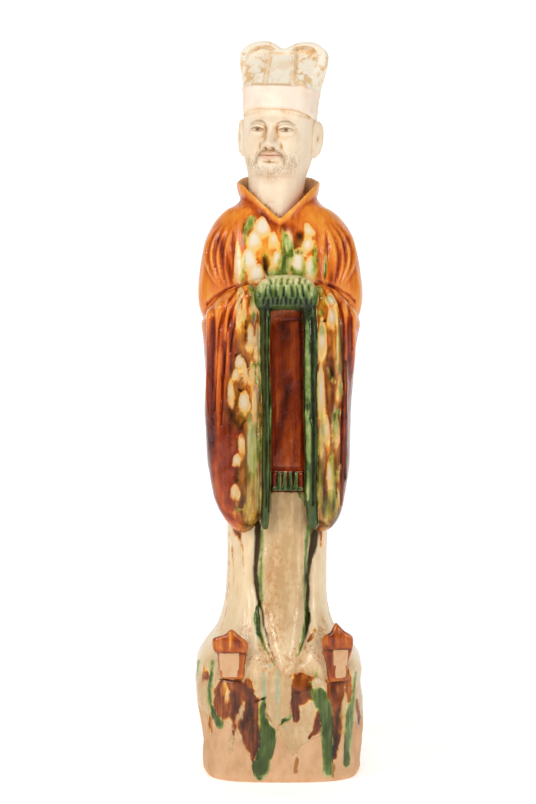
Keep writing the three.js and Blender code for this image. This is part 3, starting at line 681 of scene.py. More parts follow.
def face_relief(x, h):
    side = np.abs(x)

    def mound(across, wide, up, tall):
        return bump(side, across, wide) * bump(h, up, tall)

    nose = along(NOSE_PROFILE, h) * np.exp(-(side / along(NOSE_BREADTH, h)) ** 2.4)
    wings = 8 * mound(9.2, 4, NOSE + 3.4, 4.4) - 2.2 * mound(15, 2.2, NOSE + 3, 5)
    nostrils = 5 * mound(5.2, 2.1, NOSE - 1.6, 1.6)
    upper, lower, inside = lid_edges(side)
    u = (side - EYE_GAP) / EYE_HALF
    ball = 5.4 * np.sqrt(np.maximum(0, 1 - 0.7 * u * u - ((h - EYE) / 12.5) ** 2))
    lids = 2.3 * rise(h, upper - 0.3, upper + 0.8) * bump(h, upper, 5.5)
    lids = lids + 1.9 * (1 - rise(h, lower - 0.8, lower + 0.3)) * bump(h, lower, 4)
    crease = 2.2 * bump(h, upper + 5, 1.4) * inside**0.4 + 1.1 * bump(h, lower - 6, 2) * inside**0.5
    eyes = (ball + lids - crease) * rise(1.3 - np.abs(u), 0, 0.5)
    socket = 6.5 * mound(18, 12, EYE, 9)
    brows = 3.6 * mound(19, 14, BROW + 2, 5) + 1.5 * mound(0, 9, BROW, 5)
    w = np.sqrt(np.maximum(0, 1 - (x / MOUTH_HALF) ** 2))
    line = mouth_line(x)
    muzzle = 4 * mound(0, 21, MOUTH + 1, 12)
    lips = w**0.7 * (3.6 * bump(h, line + 2.8, 2.4) + 4.4 * bump(h, line - 3.4, 2.8))
    gap = 3.6 * bump(h, line, 1.1) * rise(MOUTH_HALF + 3 - side, 0, 4) + 2 * mound(17.5, 3, MOUTH, 3.5)
    philtrum = 1.8 * mound(0, 2.3, 713.6, 3)
    hollow = 3.4 * mound(0, 11, 698.6, 2.8)
    chin = 6 * mound(0, 12.5, CHIN + 0.5, 7)
    laugh = 16 + 0.42 * (722 - h)
    cheeks = 3.6 * mound(32, 12, 730, 11) - 1.9 * mound(laugh, 2.6, 713, 9)
    temples = 2 * mound(44, 9, 752, 12)
    return (
        nose + wings - nostrils - socket + eyes + brows
        + muzzle + lips - gap - philtrum - hollow + chin + cheeks - temples
    )


def skull():
    def place(angle, h):
        angle = angle - 0.5 * np.sin(angle)
        x, y = oval(angle, along(SKULL_WIDTH, h), along(SKULL_FRONT, h), along(SKULL_BACK, h), 2.25)
        out = face_relief(x, h) * rise(np.cos(angle), 0.1, 0.4)
        cords = 1.2 * bump(np.abs(x), 17, 7) * (1 - rise(h, 664, 684)) * (y < 0)
        return x + along(SKULL_SHIFT, h), y - out - cords, h + 0 * angle
    return loft(460, np.concatenate([np.linspace(612, 684, 60), np.linspace(684.6, 785, 190)]), place)


EAR_OUT, EAR_BACK, EAR_HEIGHT = 53, 2, 738.5
EAR_HALF, EAR_DEPTH = 26.5, 12.5


def ear(side):
    def place(angle, share):
        tilt = math.pi * share
        z, ring = -np.cos(tilt), np.sin(tilt)
        across, y = ring * np.sin(angle), -ring * np.cos(angle)
        flare = 5 * np.clip(y + z * 0.3, -1, 1)
        rim_at = np.hypot(y, z)
        outward = across * side > 0
        rim = 1.6 * bump(rim_at, 0.88, 0.13) * (z > -0.75) - 3.4 * bump(y, -0.2, 0.3) * bump(z, 0.02, 0.3)
        rim = rim + 0.9 * bump(y, 0.25, 0.16) * bump(z, 0.15, 0.4)
        x = side * (EAR_OUT + flare) + across * 9 * 0.8 + side * rim * outward
        return x, EAR_BACK + EAR_DEPTH * y * (1 + 0.25 * z), EAR_HEIGHT + EAR_HALF * z + 0 * angle
    return loft(72, np.linspace(0.01, 0.99, 72), place)


# The cap: a plain band, and above it a slanting front with a pocket inside a two-lobed rim

CAP_LOW, CAP_SHELF, CAP_NOTCH, CAP_TOP = 767, 805, 867, 879
CAP_ARCH = 8.5
CAP_WALL, CAP_POCKET = 7, 12
CAP_LOBE, CAP_FLOOR = 29, 36
CAP_WIDTH = [(767, 51.5), (790, 52.5), (805, 53.5), (828, 58.5), (846, 62.5), (858, 63.5), (880, 63)]
CAP_FRONT = [(767, 57), (805, 58), (807, 55), (880.5, -10)]
CAP_BACK = [(767, 58), (805, 62), (846, 66), (880, 60)]


def slant(h):
    return -55 + 65 * (h - CAP_SHELF - 2) / (CAP_TOP - CAP_SHELF - 2)


def pocket_depth(h):
    return CAP_POCKET - 6 * (1 - rise(h, CAP_SHELF, CAP_SHELF + 24))


def cap_outline(inset):
    """The two-lobed outline at an inset from the rim. With none, it is wide of the cap's sides and foot."""
    foot = CAP_SHELF + 3 if inset else CAP_LOW - 30
    top, notch = CAP_TOP - inset, CAP_NOTCH - inset
    side, corner = (55 - inset, foot + 12) if inset else (63.4, CAP_TOP - 26)
    swell = 66 - inset if inset else side
    right = [
        bezier((CAP_FLOOR if inset else side, foot), (side, foot), (side, foot), (side, corner)),
        bezier((side, corner), (swell, CAP_TOP - (20 if inset else 11)), (48, top), (CAP_LOBE, top)),
        bezier((CAP_LOBE, top), (14, top), (8, notch), (0, notch)),
    ]
    right = np.concatenate(right)
    left = right[1:, :] * (-1, 1)
    return np.concatenate([right, [(0, notch)], left[::-1], [(-right[0, 0], foot)]])


def cap():
    def place(angle, h):
        x, y = oval(angle, along(CAP_WIDTH, h), 1, 1, 2.6)
        above = (h - CAP_LOW) / (CAP_SHELF - CAP_LOW)
        arch = CAP_ARCH * rise(np.cos(angle), 0.1, 1) * (1 - above).clip(0, 1)
        lip = 1 + 0.028 * bump(h, CAP_SHELF - 1.5, 2.4)
        return x * lip, y * lip * np.where(y < 0, along(CAP_FRONT, h), along(CAP_BACK, h)), h + arch
    low, high = np.linspace(CAP_LOW, CAP_SHELF + 2, 50), np.linspace(CAP_SHELF + 3, CAP_TOP + 5, 80)
    body = loft(240, np.concatenate([low, high]), place)
    lobes = prism(cap_outline(0), lambda x, h: 0 * x - 100, lambda x, h: 0 * x + 100)
    body = combine(body, lobes, "INTERSECT")
    pocket = prism(
        cap_outline(CAP_WALL),
        lambda x, h: slant(h) - 30,
        lambda x, h: slant(h) + pocket_depth(h),
    )
    return combine(body, pocket, "DIFFERENCE")


def on_slant(outline, near, far):
    return prism(outline, lambda x, h: slant(h) + near, lambda x, h: slant(h) + far)


def cap_trims():
    """The board in the pocket with its raised frame, and the block at each side of it."""
    foot, head = CAP_SHELF, CAP_NOTCH - 3
    low, high = 21.5, 19
    board = [(-low, foot), (low, foot), (high, head), (-high, head)]
    beam = [(-high, head - 5), (high, head - 5), (high, head), (-high, head)]
    trims = [(board, 4.6), (beam, 2.2)]
    for side in (-1, 1):
        rail = [(low, foot), (high, head), (high - 3.6, head), (low - 4.6, foot)]
        block = [(19, foot), (38, foot), (37, foot + 20), (18, foot + 23)]
        trims += [([(side * x, h) for x, h in rail], 2.2), ([(side * x, h) for x, h in block], 3.6)]
    skewed = [([(x + 6 - 0.12 * (h - foot), h) for x, h in form], near) for form, near in trims]
    return together([on_slant(form, near, 18) for form, near in skewed])


def turned(form):
    points, faces = form
    spin = np.array(HEAD_PLACE)
    return points @ spin[:3, :3].T + spin[:3, 3], faces


def unturned(points):
    spin = np.array(HEAD_PLACE.inverted())
    return points @ spin[:3, :3].T + spin[:3, 3]


# Finer relief, carved after the forms are fused. Lines are (px, py, width) in the photo's pixels.

def pleat(x, top, foot, wide):
    """A short crease whose lean and length vary from one to the next."""
    lean = 1.1 * math.sin(2.1 * x)
    more = 1.4 * math.sin(3.7 * x)
    middle = (top + foot) / 2
    low = (x + lean * 0.4, foot, wide * 0.8)
    return [(x - lean, top - more, 0.4), (x, middle, wide), low, (x + lean, foot + 1, 0.3)]


CUFF_PLEATS = (
    [pleat(x, 279, 283, 1.2) for x in (270, 275, 281, 287, 293, 299, 305)]
    + [pleat(x, 285.5, 296, 1.6) for x in (258.5, 265.5, 270, 275.5, 283, 291.5, 297, 302.5, 309)]
    + [pleat(x, 298, 303.5, 1.5) for x in (263, 268, 272.5, 277, 281, 285.5, 290, 295.5, 300, 305.5, 311)]
)
SLEEVE_CREASES = [
    [(236, 290, 1), (226, 304, 2.4), (219, 330, 2.6), (215.5, 370, 2.2), (214, 410, 0.5)],
    [(241, 291, 1), (233, 306, 2.2), (226, 335, 2.4), (222, 380, 2), (221, 425, 0.5)],
    [(246, 291, 1), (239, 305, 1.8), (233, 330, 1.6), (230, 352, 0.5)],
    [(330, 288, 1), (339, 303, 2.2), (343, 325, 2.6), (343, 380, 2.6), (342, 450, 2.2), (341, 505, 0.8)],
    [(324, 290, 1), (331, 306, 1.8), (335, 330, 1.6), (336, 360, 0.5)],
    [(338, 291, 1), (347, 301, 2), (351, 318, 1.8), (352, 350, 0.5)],
]
BAND_CREASES = [
    [(269, 318, 1.6), (269.5, 400, 1.6), (270.5, 470, 1.4), (269, 512, 0.8)],
    [(311, 318, 1.8), (312, 380, 2), (313, 450, 2), (312.5, 505, 1)],
]
FOREARM_LINES = [
    [(205, 306, 2), (214, 297, 2.6), (226, 290.5, 2.6), (240, 285, 2.4), (252, 281.5, 1.6), (262, 279, 1)],
    [(318, 281, 1), (326, 284, 2), (338, 289, 2.6), (350, 296, 2.6), (360, 307, 2)],
]
PANEL_LINES = [
    [(273, 321, 1), (302, 320, 1)],
    [(273, 467.5, 1.3), (303, 467.5, 1.3)],
    [(273.5, 322, 1), (275, 466, 1)],
    [(301, 322, 1), (302.5, 466, 1)],
]
SHOE_LINES = [
    [(213, 654, 1), (246, 655, 1)],
    [(323, 646, 1), (330, 652, 1), (346, 651, 1), (353, 650, 1)],
    [(340, 627, 0.8), (341, 650, 0.8)],
]
ROCK_LINES = [
    [(221, 681, 1.2), (232, 682.5, 1.6), (243, 681.5, 1)],
    [(255, 702, 0.8), (264, 700, 1.2)],
    [(280, 727, 0.8), (289, 723, 1), (296, 726, 0.8)],
]
CARVINGS = ((CUFF_PLEATS, 2.3), (SLEEVE_CREASES, 2.7), (BAND_CREASES, 2.2), (FOREARM_LINES, 2.2),
            (PANEL_LINES, 0.9), (SHOE_LINES, 0.9), (ROCK_LINES, 1.2))


def carve(points, faces):
    """Presses the creases into the front and gives all of it the slight waves of handwork."""
    normals = normals_of(points, faces)
    px, py = to_pixels(points)
    facing = rise(-normals[:, 1], 0.1, 0.5) * (points[:, 1] < -30)
    depth = np.zeros(len(points))
    for lines, deep in CARVINGS:
        depth += deep * rise(inside_marks(px, py, lines), -1.9, 1.6)
    hand = 0.35 * ripple(points, 9, 3) + 0.5 * ripple(points * (1, 1, 0.4), 24, 4)
    hand += 0.9 * ripple(points, 13, 6) * bump(points[:, 2], -16, 26)
    ground = rise(points[:, 2], -BASE_HEIGHT + 1, -BASE_HEIGHT + 8)
    return points + normals * (hand * ground - depth * facing)[:, None]


def body_form():
    forms = {
        "rock": rock(), "skirt": skirt(), "fold": front_fold(), "robe": robe(), "panel": panel(),
        "pleats": hem_pleats(), "cuffs": cuffs(), "collar": collar(),
        "sleeves": together([sleeve(-1), sleeve(1)]),
        "bands": together([band(-1), band(1)]),
        "shoes": together([shoe(**sizes) for sizes in SHOES]),
        "arms": together([arm_fold(side, bulge) for side in (-1, 1) for bulge in FOLD_BULGES]),
    }
    points, faces = fuse(forms.values(), BODY_VOXEL)
    points = relax(points, faces, 2)
    points = carve(points, faces)
    points = relax(points, faces, 1)
    spare = rise(points[:, 1], -35, 10)
    points, faces = thin(points, faces, BODY_TRIANGLES, spare)
    return (points, faces), forms


def head_form():
    forms = {"skull": skull(), "ears": together([ear(-1), ear(1)]), "cap": cap(), "trims": cap_trims()}
    points, faces = fuse(forms.values(), HEAD_VOXEL)
    points = relax(points, faces, 2, 0.4)
    rounded = relax(points, faces, 9)
    points += rise(points[:, 2], 770, 776)[:, None] * (rounded - points)
    hidden = rise(670 - points[:, 2], 0, 15)
    spare = np.maximum(rise(points[:, 1], -15, 15), hidden)
    points, faces = thin(points, faces, HEAD_TRIANGLES, spare)
    return turned((points, faces)), {name: turned(form) for name, form in forms.items()}


def largest_shell(points, faces):
    """The largest joined piece alone. A union can leave slivers beside it."""
    label = np.arange(len(points))
    while True:
        low = label[faces].min(1)
        lower = label.copy()
        for corner in faces.T:
            np.minimum.at(lower, corner, low)
        lower = lower[lower]
        if np.array_equal(lower, label):
            break
        label = lower
    shell = label[faces[:, 0]]
    used, kept = np.unique(faces[shell == np.bincount(shell).argmax()], return_inverse=True)
    return points[used], kept.reshape(-1, 3)


def figure_mesh():
    body, body_forms = body_form()
    head, head_forms = head_form()
    figure = largest_shell(*combine(body, head, "UNION"))
    return figure, {**body_forms, **head_forms}


# The glaze marks of the front, in the photo's pixels. A drop is a tuple (px, py, wide, tall) or, where it
# leans, (px, py, wide, tall, lean). A line is a list of (px, py, width).

# The chest
CHEST_CREAM = [
    (250, 222, 5, 7), (262, 226.5, 15.5, 20), (254, 241, 13, 19), (273, 239.5, 6.4, 12),
    (287.3, 242, 9.5, 18), (248.8, 259.5, 14.5, 20), (256, 273, 15, 20), (277, 258, 10, 15, -0.1),
    (269, 274.5, 7.4, 8), (297, 261.5, 13.5, 25), (308, 230.5, 8, 12, 0.3), (307.3, 245, 10, 12),
    # The last drop is a painted highlight down the chest's left edge
    (309.8, 268, 9.4, 22), (238, 264, 6.4, 36),
]
CHEST_YELLOW = [
    (266, 242, 13, 30), (260, 251, 16, 17), (303, 246, 8, 14), (248, 240, 6, 12), (250, 248, 9, 8),
    (278, 246, 6, 10), (272, 266, 10, 20), (290, 262, 6, 22), (303.6, 266, 6, 26), (306, 238, 8, 8),
    (325, 264, 4, 28), (262, 268, 6, 14),
]
CHEST_GREEN = [
    (250, 220, 8, 9), (245, 230, 4, 12), (314.6, 256, 4, 24), (303.8, 272, 3.4, 12), (243.5, 272, 3, 16),
    (325, 268, 3.4, 28), (290, 252, 5, 12),
    [(282, 226, 1.6), (282.8, 238, 3.4), (284.4, 252, 3.4), (284.4, 264, 4.4), (282, 277, 12)],
    [(254, 217, 3), (249, 222, 5), (246, 232, 2.6), (244, 244, 2)],
    [(286, 235, 2), (291.5, 246, 3), (292, 256, 3)],
    [(272, 272, 3), (278, 276, 5)],
    [(292, 270, 5), (298, 276, 5)],
]
CHEST_MINT = [
    (284, 254, 13, 46), (275, 273, 16, 14), (297, 275, 12, 12), (248, 225, 12, 18), (303, 262, 5, 24),
    (315, 258, 6, 28), (244, 266, 6, 22), (292, 246, 6, 16),
]
CHEST_MUSTARD = [
    (267, 264, 11, 24), (273, 264, 9, 26), (291, 262, 6, 24), (300, 248, 12, 22), (246, 230, 6, 16),
]
CHEST_PALE = [
    (288, 244, 12, 30), (285, 264, 15, 26), (273, 274, 12, 9), (297, 274, 12, 10), (250, 222, 9, 11),
]
CHEST_BROWN = [
    [(276.5, 250, 1.2), (281, 256, 1.8), (282.4, 264, 1.8), (280, 268, 1.2)],
    [(267.6, 236, 1.2), (268.6, 246, 1.6)],
    [(256, 254, 1.2), (256.6, 268, 1.6)],
    [(303.4, 256, 1.2), (303.2, 268, 1.6)],
    [(243.4, 238, 1.2), (244, 250, 1.4)],
]
CHEST_DARK = [
    (265.6, 267, 6, 13, 0.15), (300, 237.4, 4.4, 7), (298.4, 251.6, 5, 2.6), (243, 229, 1.8, 7),
    [(263, 257, 1.6), (265, 264, 4), (268, 275, 4)],
    [(297, 234, 1), (301, 238, 2.6), (302, 244, 1.4)],
    [(295, 250, 1), (301, 253, 2)],
]
CHEST_OLIVE = [
    (265, 263, 12, 24, 0.1), (299.6, 236.6, 11, 12), (244, 229, 5, 16), (298.6, 251.4, 10, 6),
    (314.6, 258, 4, 26), (279, 262, 5, 16), (291, 270, 5, 12),
]

# The sleeves, and the front panel with its hem
SLEEVE_CREAM = [
    (238, 308, 4.4, 26), (243.2, 309, 2.8, 19), (241, 291.5, 4.4, 6), (252.4, 303.4, 9.4, 16),
    (257.4, 339, 6, 34), (250, 336, 7.6, 22), (239.6, 362.5, 10.6, 15.5), (235.6, 374.8, 7.6, 11),
    (245, 373.6, 4.6, 19), (251.4, 374, 4.4, 19), (258, 374, 4.2, 17), (230.2, 393, 6.6, 20),
    (243.6, 402.8, 12, 21.5), (254.4, 406, 4, 24), (240.8, 443, 6.6, 18), (235.8, 460.4, 9.6, 13),
    (234.8, 491.6, 9.6, 16), (244.4, 508, 2.6, 10), (261.8, 474.5, 2.8, 9), (261.2, 494, 3.2, 20),
    (330.2, 299.6, 9.6, 12), (331.2, 317, 9.2, 20), (321.6, 338, 9.4, 36), (320.8, 389, 9.6, 54),
    (339.3, 386, 4.4, 17), (325.8, 428, 7.4, 26), (335.8, 428, 5.6, 26), (320, 445, 3.8, 13),
    (329.4, 472, 6.6, 30), (320, 497, 4.6, 19), (337, 473, 3.2, 7), (337, 496, 3.6, 16),
]
SLEEVE_YELLOW = [
    (238, 322, 6, 16), (250, 348, 9, 14), (257, 356, 6, 12), (240, 372, 8, 6), (231, 382, 6, 8),
    (230, 402, 6, 10), (252, 395, 5, 18), (321.6, 354, 9, 16), (322, 412, 8, 14), (328, 447, 5, 14),
    (330, 488, 5, 14),
]
SLEEVE_MUSTARD = [
    (256, 385, 14, 80), (250, 472, 25, 108), (238, 412, 16, 24), (240, 312, 3, 30), (247, 345, 20, 56),
    (237, 381, 18, 34), (229, 393, 6, 26), (320, 305, 10, 32), (336, 345, 12, 66), (323, 352, 9, 36),
    (330, 404, 18, 60), (329, 475, 26, 116),
]
SLEEVE_PALE = [
    (252, 452, 12, 72, 0.06), (254, 404, 5, 34), (258.4, 372, 5, 34), (257, 490, 5, 40), (249, 500, 5, 36),
    (334.6, 424, 6, 36), (331.4, 484, 7, 50), (321, 432, 4, 44), (337.4, 350, 4, 40), (320.4, 488, 4, 40),
    (326, 512, 4, 26), (335, 506, 4, 26),
]
SLEEVE_MINT = [
    (250.6, 294, 9, 20), (252.6, 316, 9, 12), (257.4, 319, 5, 8), (244.4, 318, 3.4, 8),
    (260.6, 340, 3.6, 60), (259.6, 392, 6, 50), (254, 366, 10, 5), (248, 432, 6, 16), (254, 444, 16, 40),
    (250, 462, 16, 40), (259, 443, 6, 26), (235, 441.6, 6, 16), (236, 472, 6.4, 14), (236, 505.6, 7.4, 18),
    (236, 400, 4.4, 30), (242, 417, 12, 8), (320, 313.6, 7, 8), (321, 331, 9, 10), (328, 330.6, 6, 9),
    (337, 368, 7.4, 10), (331.6, 375, 7, 9), (316.4, 400, 4, 120), (339.6, 389, 4, 12), (336, 421, 8, 22),
    (321.6, 430, 5, 30), (331.6, 456, 5, 12), (333.6, 478, 4, 34), (338, 412, 6, 8), (321, 470, 5, 30),
    (329, 505, 14, 26), (327, 298, 7, 5),
]
SLEEVE_OLIVE = [
    (250, 500, 26, 56), (251, 520, 22, 24), (322, 490, 9, 50), (330, 508, 22, 40), (338, 345, 7, 50),
    (321, 300, 9, 22), (249.6, 404, 3, 24), (334, 440, 4, 30), (335, 470, 9, 34), (318.6, 456, 4, 60),
    (256, 470, 5, 60),
]
SLEEVE_GREEN = [
    (251.4, 290, 6, 12), (252.6, 315, 6, 8), (259.4, 412, 3, 16), (259, 427, 4, 14), (258.6, 444, 4.4, 20),
    (249.6, 408, 2.4, 14), (318.6, 289.5, 8, 10), (334.4, 417, 2.6, 8), (331.4, 456, 3.4, 10),
    (339.4, 467, 2.4, 8), (339.4, 411, 3.4, 8), (235.8, 478, 3, 6), (236, 509, 3.4, 8), (320, 313, 4, 5),
    [(252.4, 365, 2), (256.7, 364, 2.4), (259.6, 367, 1.8)],
    [(254.4, 367, 2), (255, 374, 2.2), (256.4, 384, 1.8)],
    [(327.4, 368, 2), (331, 374, 2.6), (333.9, 384, 1.8)],
    [(338.5, 409, 2.8), (335, 414, 2.6), (334, 420, 2)],
    [(315, 404, 3), (315.6, 430, 3.4), (316, 470, 3.4), (316, 510, 3)],
]
SLEEVE_BROWN = [
    [(240.3, 297, 1.2), (240.3, 322, 1.4)],
    [(246.4, 296, 1.6), (247, 319, 2), (244.6, 332, 2.4), (245, 341, 2)],
    [(247, 326, 1.2), (246.6, 338, 1.4), (247, 352, 1.4)],
    [(248.6, 323.6, 1.4), (252.6, 327, 1.6), (254.6, 342, 1.8), (254, 354, 1.4)],
    [(240, 355.6, 1.8), (246.6, 361, 2.2), (248.6, 371, 2), (247.9, 386, 1.8)],
    [(236, 369, 1.2), (240, 371, 1.6), (242, 382, 1.8)],
    [(251.7, 386, 1.6), (251.4, 408, 1.4)],
    [(244, 436, 1.2), (247, 449, 1.6), (247, 486, 1.2)],
    [(257.4, 484, 1.4), (256.6, 508, 1.8)],
    [(326.4, 365, 1.6), (327, 414, 2)],
    [(326, 308, 1.4), (327, 316, 1.8), (326, 322, 1.6)],
    [(329.3, 418, 1.6), (332.9, 431, 2.2), (332, 444, 2)],
    [(326.4, 468, 1.6), (324.3, 500, 1.6), (324, 518, 1.6)],
]
SLEEVE_DARK = [
    (236, 355.6, 4.4, 4), (240, 392, 8, 4), (240, 427, 8, 7), (232, 414, 6, 10), (324, 321.6, 7, 3.6),
    [(245.8, 314, 1.4), (244.4, 338, 1.8)],
    [(240, 355, 1.2), (246, 360, 1.6), (248.4, 368, 0.8)],
    [(235, 386, 1.4), (240, 392, 2.6), (247, 390.6, 2)],
    [(233, 420, 4), (240, 425, 4), (246, 419, 1.6)],
    [(330, 347, 1.6), (328, 354, 2.6), (327.6, 362, 2)],
    [(327.6, 368, 1), (331.6, 374, 1.6), (333.6, 385, 1.2)],
    [(334.2, 413, 1.6), (334.3, 420, 1.8)],
    [(336.4, 471, 1), (336.2, 500, 1.4)],
    # Along the sleeves' feet: painted shade
    [(246, 524, 1), (255, 526, 2.4), (262, 521, 3)],
    [(318, 522, 3), (327, 526, 1.6)],
    [(345.4, 360, 2), (345.4, 480, 2)],
]
PANEL_GREEN = [
    [(274, 309, 3), (290, 307, 3), (302, 311, 5)],
    [(294, 310, 3), (302, 314, 3)],
]
HEM_GREEN = [
    [(279.2, 472, 4), (279, 488, 5)],
    [(284.8, 471, 4), (284.6, 488, 5)],
    [(290.4, 472, 4), (290.2, 488, 5)],
    [(296, 473, 4), (295.6, 488, 5)],
    [(274, 489, 5), (301, 489, 5)],
]
HEM_DRIPS = [
    [(272, 488, 3), (271.5, 493, 2)],
    [(291, 489, 3), (291, 492, 2)],
    [(273, 488, 4.6), (303, 488, 4.6)],
    [(299, 488, 4), (299.6, 497, 2.4), (302, 499, 2)],
    [(304, 488, 3), (305, 506, 2)],
]

# The darker folds of robe, sleeves and panel, painted shade along the sleeves' feet, and the bands and
# cuffs
CLOTH_DEEP_AND_SHADE = [
    [(213, 322, 7), (209, 380, 11), (209, 430, 15), (208, 470, 12), (210, 490, 8)],
    [(232, 405, 10), (226, 440, 12), (224, 480, 12), (228, 508, 9)],
    [(236, 340, 4), (233, 356, 7), (230, 368, 6)],
    [(224, 345, 5), (227, 400, 5), (226, 470, 5)],
    # These two run down the left sleeve's side and along the sleeves' feet, where the darkening is painted
    # shade
    [(206, 400, 6), (207, 450, 7), (212, 490, 5), (222, 510, 6), (236, 522, 7), (250, 529, 7),
     (262, 527, 6)],
    [(318, 527, 6), (332, 524, 6), (342, 510, 5)],
    [(347, 320, 10), (348, 380, 12), (347, 450, 12), (344, 490, 8)],
    [(341, 300, 4), (343, 350, 5), (342, 500, 5)],
    [(238, 287, 8), (226, 262, 9), (219, 240, 6)],
    [(330, 285, 8), (341, 262, 9), (346, 240, 6)],
    [(281, 232, 6), (290, 226, 8), (300, 240, 14), (296, 250, 8)],
    [(266, 260, 6), (266.5, 267, 12), (264, 276, 8)],
    [(246, 206, 5), (262, 214, 6), (276, 226, 5)],
    [(246, 232, 7), (252, 240, 5)],
    [(228, 410, 10), (234, 430, 12), (242, 432, 6)],
    [(239, 352, 9), (234, 366, 6)],
    [(228, 300, 5), (230, 340, 6), (231, 370, 6)],
    [(331, 362, 9), (334, 385, 6), (331, 410, 6)],
    [(293, 240, 3), (292, 262, 3), (290, 274, 3)],
    [(281, 246, 2), (281, 268, 3)],
    [(303.6, 262, 2), (304.4, 276, 3)],
]
BAND_PALE = [
    [(269, 312, 1.2), (269.3, 360, 1.6), (269.6, 420, 1.6), (270.6, 470, 1.4), (271, 500, 1)],
    [(306, 322, 5), (307, 380, 6.6), (307.4, 440, 5), (308, 500, 3)],
    [(317.6, 330, 1.4), (318, 420, 1.4), (317, 490, 1.4)],
]
BAND_DARK = [
    [(265, 312, 3), (265.2, 400, 3.2), (265.8, 470, 3.2), (266, 508, 2.4)],
    [(303.4, 312, 2), (304, 400, 2.2), (304.6, 470, 1.8)],
    [(313.4, 318, 1.8), (313.8, 400, 2.4), (314, 470, 2.6), (313, 506, 2)],
]
# Pale places on the cuffs, partly painted highlights along their tops and ends
CUFF_PALE_AND_HIGHLIGHTS = [
    (259.5, 290, 6, 14), (263, 281, 8, 7), (306, 283, 9, 7), (290, 280.5, 24, 5), (311, 293, 7, 14),
]
PANEL_DEEP = [
    [(275, 322, 2), (284, 322.6, 2.4), (298, 320, 2)],
    [(281, 327, 2.6), (288, 333, 4), (283, 343, 2.4)],
    [(290, 380, 4), (284, 410, 7), (276, 455, 5)],
    [(300.6, 312, 3), (301, 380, 3), (301.6, 466, 2.4)],
]

# The underskirt, and the rust on its front fold
SKIRT_AMBER = [
    (237, 531, 11, 9), (321.5, 534, 4, 14),
    [(238, 530, 6), (240, 541, 2), (241.5, 556, 1.3), (242.5, 575, 0.9)],
    [(234, 530, 4), (235, 539, 1.4)],
    [(229, 534, 0.8), (228.6, 575, 0.7), (226, 612, 0.6), (219, 640, 0.4)],
    [(233, 545, 0.5), (232.6, 590, 0.4)],
    [(321, 530, 3), (320.5, 547, 1.6)],
    [(314.6, 631, 2.4), (312.6, 638, 5), (309, 643, 3)],
]
FOLD_RUST = [
    (272, 612, 22, 90, 0.06), (277, 560, 14, 36), (262, 656, 40, 26), (304, 658, 44, 26),
    (284, 672, 60, 16), (246, 640, 14, 30), (322, 632, 10, 24),
]
SKIRT_DARK = [
    [(258, 524, 7), (257, 545, 6.4), (255.4, 572, 5.4), (257.4, 594, 4.2), (261.6, 610, 3),
     (263.5, 628, 2.6), (268, 645, 2), (275, 662, 1.2)],
    [(316, 524, 8.4), (314, 545, 8), (309, 562, 5.4), (307, 580, 4), (308, 600, 3.2), (309.6, 622, 3),
     (306, 638, 1.6), (299, 652, 0.8)],
]
SKIRT_GREEN = [
    [(262, 528, 3), (261, 560, 3.4), (260, 584, 4.6), (262, 600, 3), (257, 608, 5), (256.4, 622, 7),
     (257.6, 634, 5), (262, 644, 3), (268, 655, 2), (275, 667, 1.2)],
    [(308.5, 528, 6), (307, 545, 4.5), (305, 562, 3.5), (305, 600, 3), (308, 616, 5), (305, 632, 6),
     (302, 644, 4), (297, 658, 1.6)],
]

# The rock. Its glaze ends along an uneven line, with bare clay below it.
GLAZE_END = [
    (186, 702), (198, 708), (204, 716), (209, 722), (214, 716), (222, 722), (231, 726), (240, 742),
    (250, 762), (262, 760), (270, 744), (277, 729), (280, 734), (284, 745), (288, 752), (292, 758),
    (296, 754), (302, 747), (313, 741), (325, 736), (333, 741), (341, 738), (350, 726), (358, 722),
    (376, 712),
]
ROCK_AMBER = [
    (231, 690, 38, 24), (222, 706, 22, 32), (241, 704, 24, 34), (204.6, 676, 8, 16), (249, 690, 13, 24),
    [(232.7, 704, 8), (232.6, 726, 4), (232.6, 743, 2)],
    [(246, 703, 26), (248, 722, 22), (253, 742, 14), (256, 764, 9)],
    [(236, 716, 9), (241, 732, 8), (248, 752, 6)],
    [(263, 708, 3), (266, 722, 4.4), (266, 731, 4), (259, 747, 2)],
    [(293, 681, 5), (293.4, 706, 6), (295, 722, 7)],
    [(297, 680, 8), (297.4, 719, 7)],
    [(303, 682, 14), (304.6, 701, 13)],
    [(289.6, 678.6, 3), (300, 676.6, 5), (312, 680, 6)],
    [(320, 711, 6), (318, 724, 9), (314, 735, 8), (307, 741, 3.4)],
    [(329, 682, 8), (334, 704, 11)],
    [(341, 676, 18), (342, 694, 18)],
    [(348, 680, 9), (348, 700, 6)],
    [(309, 686, 8), (310, 700, 8)],
    [(339, 700, 14), (338, 722, 12), (336, 742, 9), (334, 764, 4)],
    [(357, 702, 4), (358, 714, 5), (358.4, 726, 3)],
    [(210, 716, 3), (210, 728, 5), (210, 735, 2)],
]
ROCK_GREEN = [
    [(212, 664, 3), (208.6, 688, 6), (210, 703, 5), (214, 717, 6.4), (219.4, 726, 9)],
    [(262, 701, 4), (262, 716, 6), (264, 727, 9), (268, 736, 17), (267, 750, 16), (262, 762, 15),
     (260, 771, 19), (259, 777, 13)],
    [(317, 670, 2.6), (315.4, 679, 3.2)],
    [(311, 684, 4), (314, 697, 8), (319, 706, 12)],
    [(321, 694, 9), (325, 708, 14), (327, 730, 14), (327.6, 752, 12), (327.6, 775, 10)],
    [(357, 674, 3), (353, 696, 4), (350, 712, 6), (348, 728, 8), (347, 750, 8), (346.6, 766, 7)],
    [(282, 725, 3.6), (287, 722, 4), (292, 717, 3)],
    [(198, 662, 3.4), (196.6, 680, 3)],
    [(355.6, 760, 2), (355.6, 765, 2)],
]
ROCK_TURQUOISE = [
    [(277, 672, 5), (277.6, 696, 6), (277.4, 724, 4)],
    [(262, 675, 5), (263, 699, 6)],
    [(287, 728, 3), (287.6, 738, 2)],
    [(263, 664, 3), (272, 669, 4)],
]
